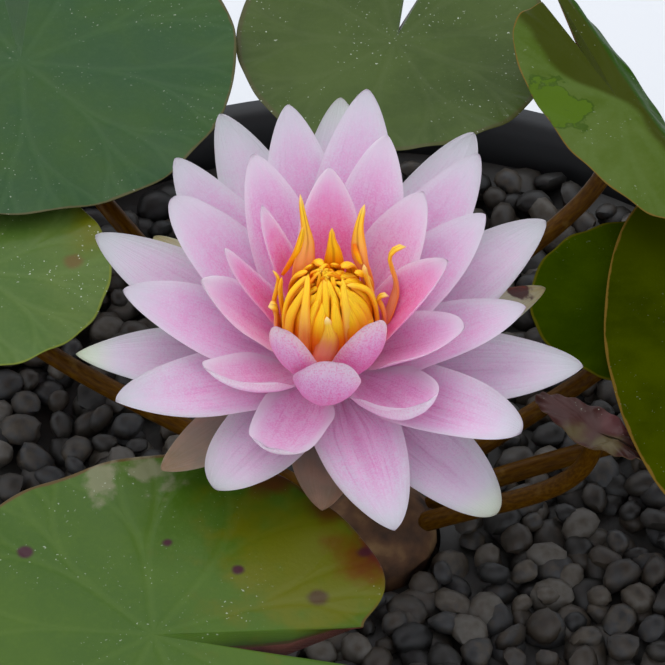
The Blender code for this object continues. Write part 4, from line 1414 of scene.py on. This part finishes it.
# Outer stamens: salmon, ember and cream shares of the colour, then (x, y, height, width) from foot to tip
OUTER_STAMENS = [
    # Tall petal-like ones behind the dome
    (0.75, 0, 0.5, [(-2, 4.4, 10.2, 2.4), (-4.8, 7.4, 15, 4.4), (-5.8, 7.8, 20.5, 5.2),
                    (-5.6, 8.5, 24.8, 5.6), (-5.2, 10, 26.9, 4.6), (-4.8, 11.5, 29, 3.3),
                    (-5, 12.8, 31.1, 2.1), (-5.4, 14.2, 33.2, 1.5), (-5.8, 15.6, 35.4, 1.1),
                    (-6, 16.9, 37.2, 0.6)]),
    (0, 0, 0.1, [(-9.6, 6.4, 25, 0.8), (-8.2, 7.9, 26.5, 1.5), (-6.8, 9.5, 28.5, 1.6),
                 (-5.8, 11.6, 30.9, 1.3), (-5.5, 12.6, 32.4, 0.7)]),
    (0, 1, 0.1, [(0.2, 4.6, 10.2, 2), (0.4, 8.6, 15, 3), (0.6, 9.2, 20, 3.6), (0.6, 9.8, 25.4, 4),
                 (0.5, 10.8, 27.9, 2.8), (0.3, 11.3, 28.9, 2.1), (0.2, 12, 30.1, 1.3),
                 (0.2, 12.6, 32, 1.2)]),
    (0.85, 0, 0.4, [(2, 4.2, 10.2, 2.4), (4.6, 7.4, 15, 4), (7.4, 7.2, 20.1, 3.6), (7, 8.5, 23.2, 4),
                    (6, 10, 25.6, 4.4), (5.6, 12.2, 28.2, 3.7), (5.6, 14, 30.6, 2.2),
                    (5.9, 15.2, 31.8, 1.6), (6.3, 16.2, 33, 1.3), (6.6, 16.9, 34.1, 0.7)]),
    (0, 0, 0.5, [(4.5, 11.4, 28.6, 0.7), (4.8, 10.5, 27.6, 1.2), (5.4, 9.4, 26.5, 1.2),
                 (6, 8.6, 25.4, 0.7)]),
    # Separate ones at the right and left
    (0.9, 0, 0.4, [(4.4, 1.2, 10.2, 2), (9.4, 2, 12.5, 2.6), (11.4, 3, 16.3, 3.1), (12.4, 4.5, 18.8, 3.3),
                   (13, 5.5, 21.2, 3.2), (12.8, 6.5, 23.3, 2.7), (12, 7.5, 26, 1.6), (11.6, 8.5, 28.4, 1.3),
                   (12.4, 9, 29.6, 1.5), (13.5, 9.5, 29.9, 1.4), (14.7, 9.9, 29.5, 1.2)]),
    (0.5, 0, 0.6, [(4.4, 0.8, 10.2, 2), (8.8, 1.6, 14.5, 3), (9.2, 1.1, 18, 3), (8.6, 2.1, 22, 2.4),
                   (7.8, 2.5, 25.5, 2.2), (7, 3.2, 28.5, 1.8), (6.4, 4, 31.5, 1.4)]),
    (0.95, 0, 0.8, [(4.8, 0.6, 10.2, 2), (9.6, 1.4, 13.5, 2.2), (10.6, 1.5, 17.5, 2.3), (10, 2.1, 21, 2.2),
                    (9.4, 2.2, 22.9, 1.5), (10.2, 2.4, 23.8, 1.3), (11.3, 2.5, 23.3, 1.2)]),
    (0.1, 0, 0.3, [(-4.8, 1.2, 10.2, 1.8), (-9.6, 1.8, 14.5, 2.2), (-10.8, 1.9, 18, 2),
                   (-11.2, 2.7, 22, 1.9), (-10.6, 3.4, 25, 1.7), (-10.4, 4, 27.3, 1.1),
                   (-11.4, 4.5, 29, 0.6)]),
    (1, 0, 0.8, [(-4.8, 0, 10.2, 2), (-9.6, 0.2, 13.5, 2.6), (-10.8, 0.4, 16.5, 2.6),
                 (-10.8, 0.9, 19.5, 2.8), (-10.9, 0.8, 21.6, 2.5), (-11.5, 0.6, 22.8, 2.2),
                 (-12.3, 0.7, 22.2, 1.7)]),
    (0, 0.6, 0, [(-4.6, 1, 10.2, 2), (-9, 1.6, 15, 3), (-9.4, 1, 19, 2.2), (-9.8, 1.4, 23.5, 1.8),
                 (-10, 2.6, 26, 1.6), (-9.6, 3.6, 28, 1.0)]),
    # The salmon one in front
    (1, 0, 1, [(-0.4, -4.4, 10.2, 2.4), (-1.2, -8.8, 14, 3.8), (-1.6, -9, 18, 4.2), (-0.8, -8.3, 21, 4.4),
               (-0.4, -7.8, 24, 3.5), (-0.6, -6.7, 26, 2), (-0.8, -6, 27.8, 1)]),
    # The front of the dome, from left to right
    (0, 0, 0.1, [(-4.4, 0.6, 10.2, 2), (-8.6, -1.2, 15, 3), (-9.2, -1.7, 20, 2.2), (-9.0, -1.2, 24, 1.7),
                 (-8.0, 0.1, 27, 1.6), (-5.8, 1.7, 29, 1.5), (-4.2, 2.5, 30, 1.2)]),
    (0.05, 0, 0, [(-4.2, -1.4, 10.2, 2), (-8.2, -3.6, 15, 3.6), (-8.4, -4.2, 21, 3.2),
                  (-8, -3.3, 24.5, 2.9), (-6.8, -2.3, 27, 2.2), (-5.4, -1, 29, 1.5), (-4, 0.6, 30, 1.1)]),
    (0.35, 0, 0, [(-3, -3.4, 10.2, 2), (-5.8, -7.0, 15, 3.2), (-5.4, -6.6, 21, 2.9),
                  (-5.2, -6.0, 25.5, 2.7), (-5, -4, 28.3, 1.9), (-4.7, -1.3, 30, 1.4),
                  (-4.4, 2.4, 30.5, 1.1)]),
    (0, 0, 0, [(-1.6, -3.4, 10.2, 1.6), (-3.6, -6.6, 15, 2.2), (-3.8, -5.8, 21, 2), (-3.4, -5.2, 25.5, 1.8),
               (-2.6, -3.3, 28.5, 1.6), (-1.8, -0.4, 30.5, 1.2), (-1.2, 1.6, 31, 0.9)]),
    (0, 0, 0.2, [(-0.4, -3.6, 10.2, 1.6), (-1, -6.4, 15, 2.2), (-1.1, -6.0, 22, 1.8), (-1, -5.3, 27, 1.6),
                 (-1, -3.5, 29.3, 1.4), (-1.1, 0.3, 31, 1.2), (-1.0, 1.6, 31.2, 0.9)]),
    (0, 0, 0, [(1.4, -3.4, 10.2, 1.6), (2.2, -6.2, 15, 2.2), (2, -5.1, 21.5, 1.6), (1.6, -4.5, 26, 1.5),
               (0.8, -2.9, 29, 1.4), (-0.2, -0.9, 30.8, 1.2), (-0.6, 0.6, 31.3, 0.9)]),
    (0.4, 0, 0, [(2.8, -3.4, 10.2, 2), (4.6, -7.6, 15, 3.6), (3.9, -6.6, 20, 3.6), (3.5, -6, 25.5, 2.6),
                 (2.7, -2.9, 29, 1.7), (2.2, 1.3, 30.5, 1.2)]),
    (0.15, 0, 0, [(3.4, -2.8, 10.2, 2), (6.6, -5.8, 15, 3.2), (6.2, -5.4, 20, 3), (5.2, -4.6, 24.5, 2.2),
                  (4, -3.2, 27.6, 1.5), (2.6, -1.4, 29.6, 1.1)]),
    (0, 0, 0, [(4, -2, 10.2, 2), (8, -3.6, 15, 4), (7.8, -3.0, 20, 4.4), (6.6, -2.3, 24, 4.2),
               (5, -2.3, 27, 2.6), (3.2, -1.3, 29.3, 1.4), (2.0, -0.2, 30.3, 1.0)]),
    (0, 0, 0.1, [(4.4, 0, 10.2, 2), (8.8, 0, 15, 3), (9, -0.1, 20, 2), (8.4, 0.1, 25, 1.7),
                 (7.2, 0.8, 27.5, 1.6), (5.2, 0.6, 29, 1.5), (3, 0.05, 30, 1.2)]),
    # The back of the dome, from left to right; some end early in blunt knobs
    (0, 0.2, 0, [(-3.8, 2.6, 10.2, 2), (-7.2, 5, 15, 3.2), (-7.8, 5.4, 21, 3.2), (-7.2, 5.0, 26, 2.4),
                 (-6.0, 4.1, 28.6, 2.0), (-4.6, 3.3, 30.0, 1.5)]),
    (0, 0.3, 0, [(-2.6, 3.6, 10.2, 2), (-5, 7.2, 15, 3.2), (-5.4, 7.8, 21, 3.0), (-5.0, 7.2, 25.5, 2.3),
                 (-4.3, 6.3, 27.8, 1.9), (-3.9, 5.6, 28.9, 1.6)]),
    (0, 0, 0, [(-1.5, 4.4, 10.2, 2), (-3, 8.6, 15, 3), (-3.4, 9.2, 21, 3), (-3.0, 8.4, 26, 2.4),
               (-2.6, 7.0, 28.9, 2.1), (-2.2, 5.2, 30.4, 1.9), (-1.6, 4.0, 30.9, 1.5)]),
    (0, 0.3, 0, [(0.6, 4.5, 10.2, 2), (1.2, 8.8, 15, 3), (1.2, 9.0, 21, 3), (1.0, 8.0, 25.5, 2.4),
                 (0.7, 6.8, 27.8, 2.0), (0.5, 6.0, 28.8, 1.6)]),
    (0, 0, 0, [(2.2, 4, 10.2, 2), (4, 7.6, 15, 3), (4.4, 8.2, 21, 3.2), (4.2, 7.6, 26, 2.8),
               (3.5, 6.2, 28.9, 2.3), (2.7, 4.8, 30.1, 2.0), (2.1, 3.9, 30.6, 1.6)]),
    (0, 0.2, 0, [(3.8, 2.6, 10.2, 2), (7.2, 5, 15, 3.2), (7.8, 5.4, 21, 3.2), (7.2, 5.2, 26, 2.6),
                 (6.0, 4.2, 28.5, 2.2), (4.6, 3.2, 29.8, 1.6)]),
    # Curled tips that meet in the middle, over a ring of smaller ones that all_stamens adds
    (0, 0, 0.3, [(-2.6, 0.6, 29.4, 1.0), (-1.8, 1.0, 31.2, 1.0), (-1.0, 1.0, 31.9, 0.8),
                 (-0.5, 0.6, 31.5, 0.5)]),
    (0, 0, 0.3, [(-0.6, 3.6, 29.6, 1.0), (-0.8, 2.6, 31.2, 1.0), (-1.2, 1.6, 31.8, 0.8),
                 (-1.4, 0.9, 31.4, 0.5)]),
    (0, 0, 0.3, [(1.6, 1.6, 29.6, 1.0), (0.8, 1.8, 31.2, 1.0), (-0.2, 1.6, 31.9, 0.8),
                 (-0.8, 1.2, 31.5, 0.5)]),
    (0, 0, 0, [(0.8, -1.2, 29.6, 1.0), (0.5, -0.2, 31.0, 1.0), (0.3, 0.8, 31.3, 0.8),
               (0.2, 1.5, 31.0, 0.5)]),
]


def through(stations, shares):
    """A smooth line through rows of numbers, at these shares of the way along their first three columns."""
    rows = np.array(stations, float)
    gaps = np.linalg.norm(np.diff(rows[:, :3], axis=0), axis=1)
    places = np.concatenate([[0], np.cumsum(gaps)]) / gaps.sum()
    slopes = np.gradient(rows, places, axis=0)
    low = np.clip(np.searchsorted(places, shares, side="right") - 1, 0, len(rows) - 2)
    span = (places[low + 1] - places[low])[:, None]
    s = (shares - places[low])[:, None] / span
    at_low = rows[low] * (2 * s**3 - 3 * s**2 + 1) + slopes[low] * span * (s**3 - 2 * s**2 + s)
    return at_low + rows[low + 1] * (3 * s**2 - 2 * s**3) + slopes[low + 1] * span * (s**3 - s**2)


def strap(stations, salmon=0, ember=0, cream=0):
    """One stamen: a strap along its stations that faces the flower's axis, with two pollen ridges there."""
    shares = np.linspace(0, 1, STAMEN_STEPS + 1)
    rows = through(stations, shares)
    line, widths = rows[:, :3], np.maximum(rows[:, 3], LEAST_WIDTH)
    ahead = np.gradient(line, axis=0)
    ahead /= np.linalg.norm(ahead, axis=1)[:, None]
    facing = math.atan2(stations[2][1], stations[2][0])
    level = np.array([-math.sin(facing), math.cos(facing), 0])
    sideways = level - ahead * (ahead @ level)[:, None]
    sideways /= np.linalg.norm(sideways, axis=1)[:, None]
    away = np.cross(sideways, ahead)

    def shape(u, v):
        steps = np.round(v * STAMEN_STEPS).astype(int)
        t = shares[steps]
        angle = 2 * math.pi * u
        past = np.maximum((t - 1 + TIP_ROUNDING) / TIP_ROUNDING, 0)
        rounding = np.sqrt(np.maximum(1 - past**2, TIP_SHARPNESS))
        half = widths[steps] / 2 * rounding
        thick = STAMEN_THICKNESS / 2 * np.minimum(1, widths[steps] / FULL_THICKNESS_WIDTH) * rounding
        ridge = RIDGE_HEIGHT * np.maximum(np.sin(angle), 0) * np.cos(2 * angle) ** 2
        ridge = ridge * smooth((t - RIDGE_START) / RIDGE_SPAN)
        curve = STRAP_CURVE * np.cos(angle) ** 2 * half
        inner = np.sin(angle) * thick + ridge * thick * 2 + curve
        aside = np.cos(angle) * half
        points = line[steps] + sideways[steps] * aside[:, None] - away[steps] * inner[:, None]
        return in_flower(points.T, 0)

    piece = shaped_grid("stamen", STAMEN_ROUND, STAMEN_STEPS, shape)
    outward(piece)
    seed = (stations[2][0] * 0.37 + stations[2][1] * 0.23) % 1
    for trait, value in zip(STAMEN_TRAITS, (salmon, ember, cream, seed)):
        mark(piece, trait, value)
    return piece


def all_stamens():
    """The hidden rings, the small curled tips and the outer stamens, each as a piece of its own."""
    chance = np.random.default_rng(STAMEN_SEED)
    made = []
    for count, first, profile in RINGS:
        for number in range(count):
            angle = math.radians(first + 360 * number / count + chance.normal(0, RING_SHAKE))
            size = chance.uniform(*RING_SIZES)
            stations = []
            for reach, height, width in profile:
                reach += chance.normal(0, REACH_SHAKE)
                stations.append((reach * math.cos(angle), reach * math.sin(angle), height, width * size))
            made.append(strap(stations, ember=RING_PAINTED_SHADE))
    for number in range(CURLED_TIPS):
        angle = number * GOLDEN_ANGLE
        reach = CURL_SPREAD * (CURL_INNER + (1 - CURL_INNER) * number / CURLED_TIPS)
        ahead = np.array([math.cos(angle), math.sin(angle), 0])
        beside = np.array([-math.sin(angle), math.cos(angle), 0]) * chance.normal(0, CURL_TWIST)
        stations = []
        for out, height, width in CURL_PROFILE:
            x, y, _ = CURL_MIDDLE + ahead * reach * out + beside * (1 - out)
            stations.append((x, y, height + chance.normal(0, CURL_SHAKE), width))
        made.append(strap(stations, ember=chance.uniform(*CURL_EMBER), cream=CURL_CREAM))
    for salmon, ember, cream, stations in OUTER_STAMENS:
        made.append(strap(stations, salmon, ember, cream))
    return made


pollen, start = new_finish(
    "golden_stamen_skin",
    Specular_IOR_Level=0.2,
    Subsurface_Weight=0.15,
    Subsurface_Radius=(1.0, 0.55, 0.12),
    Subsurface_Scale=0.6 * MM,
)
place = start.place()
u, t, _ = start.own_uv()
across = (u * (2 * math.pi)).math("COSINE")
edge = across.math("ABSOLUTE")
salmon, ember, cream, seed = (start.marked(trait) for trait in STAMEN_TRAITS)
grain = place.noise(1400, 3)
flow = start.node("CombineXYZ", {"X": across * 3, "Y": t * 2, "Z": seed * 29})
streaks = flow.noise(1.3, 3)
gold = (t + (streaks - 0.5) * 0.5).ramp(
    (0.1, srgb(244, 126, 6)),
    (0.35, srgb(254, 160, 6)),
    (0.65, srgb(255, 194, 12)),
    (1.0, srgb(255, 200, 36)),
)
flesh = (t + (streaks - 0.5) * 0.2).ramp(
    (0.3, srgb(246, 146, 122)),
    (0.6, srgb(250, 172, 124)),
    (0.8, srgb(255, 196, 60)),
    (0.95, srgb(255, 208, 46)),
)
glow = (t + (streaks - 0.5) * 0.15).ramp(
    (0.3, srgb(250, 116, 8)), (0.62, srgb(252, 136, 8)), (0.8, srgb(255, 196, 20))
)
colour = salmon.blend(gold, flesh)
colour = ember.blend(colour, glow)
# Painted shade: each strap darkens to orange at its sides, as the shade between neighbouring straps.
colour = (edge.rise(0.55, 0.95) * 0.55).blend(colour, srgb(236, 116, 6))
inner_side = 1 - (u > 0.5)
groove = (1 - edge.rise(0.05, 0.25)) * t.rise(0.5, 0.7) * inner_side
colour = (groove * 0.55).blend(colour, srgb(176, 104, 16))
threads = (1 - (streaks - 0.5).math("ABSOLUTE").rise(0.004, 0.03)) * t.rise(0.7, 0.85)
colour = (threads * 0.35).blend(colour, srgb(190, 118, 20))
colour = (t.rise(0.9, 1.0) * cream * 0.8).blend(colour, srgb(255, 226, 170))
colour = (grain.rise(0.6, 0.8) * 0.15).blend(colour, srgb(214, 140, 24))
feed(
    pollen,
    Base_Color=colour,
    Roughness=0.42 + grain * 0.15,
    Normal=(streaks + grain * 0.4).bump(0.15 * MM, 0.5),
)
stamens = joined("golden_stamens", all_stamens())
finished(stamens, pollen, "stamens", "stamens")

# Floor, light and camera
# A pale studio floor, an even sky and one broad lamp above, and the camera at the photo's angle.

FLOOR_SIZE = 6.0
SKY_STRENGTH = 1.13
LAMP_PLACE = Vector((-0.35, 0.45, 1.3))
LAMP_SIZE = 1.3
LAMP_POWER = 6
CAMERA_ELEVATION = 47
CAMERA_DISTANCE = 800 * MM
CAMERA_TARGET = Vector((-7.7, -7.5, 185.1)) * MM
VIEW_WIDTH = 133 * MM
SENSOR_WIDTH = 36.0
NEAREST_SEEN = 0.05
FARTHEST_SEEN = 20

bpy.ops.object.select_all(action="DESELECT")
bpy.ops.mesh.primitive_plane_add(size=FLOOR_SIZE, location=(0, 0, 0))
floor = bpy.context.object
floor.name = "studio_floor"
floor_finish, start = new_finish("studio_floor", Roughness=0.8)
floor_tone = start.place().noise(3, 2)
feed(floor_finish, Base_Color=floor_tone.ramp((0.3, srgb(222, 222, 222)), (0.7, srgb(228, 228, 228))))
floor.data.materials.append(floor_finish)

world = bpy.data.worlds.new("soft_sky")
world.use_nodes = True
sky = world.node_tree.nodes["Background"]
sky.inputs["Color"].default_value = srgb(232, 238, 248)
sky.inputs["Strength"].default_value = SKY_STRENGTH
bpy.context.scene.world = world

bpy.ops.object.light_add(type="AREA", location=LAMP_PLACE)
lamp = bpy.context.object
lamp.name = "broad_lamp"
lamp.data.shape = "DISK"
lamp.data.size = LAMP_SIZE
lamp.data.energy = LAMP_POWER
lamp.rotation_euler = (CAMERA_TARGET - LAMP_PLACE).to_track_quat("-Z", "Y").to_euler()

elevation = math.radians(CAMERA_ELEVATION)
back = Vector((0, -math.cos(elevation), math.sin(elevation)))
bpy.ops.object.camera_add(location=CAMERA_TARGET + back * CAMERA_DISTANCE)
camera = bpy.context.object
camera.rotation_euler = (-back).to_track_quat("-Z", "Y").to_euler()
camera.data.sensor_width = SENSOR_WIDTH
camera.data.lens = SENSOR_WIDTH * CAMERA_DISTANCE / VIEW_WIDTH
camera.data.clip_start = NEAREST_SEEN
camera.data.clip_end = FARTHEST_SEEN
bpy.context.scene.camera = camera
bpy.context.scene.view_settings.view_transform = "Standard"
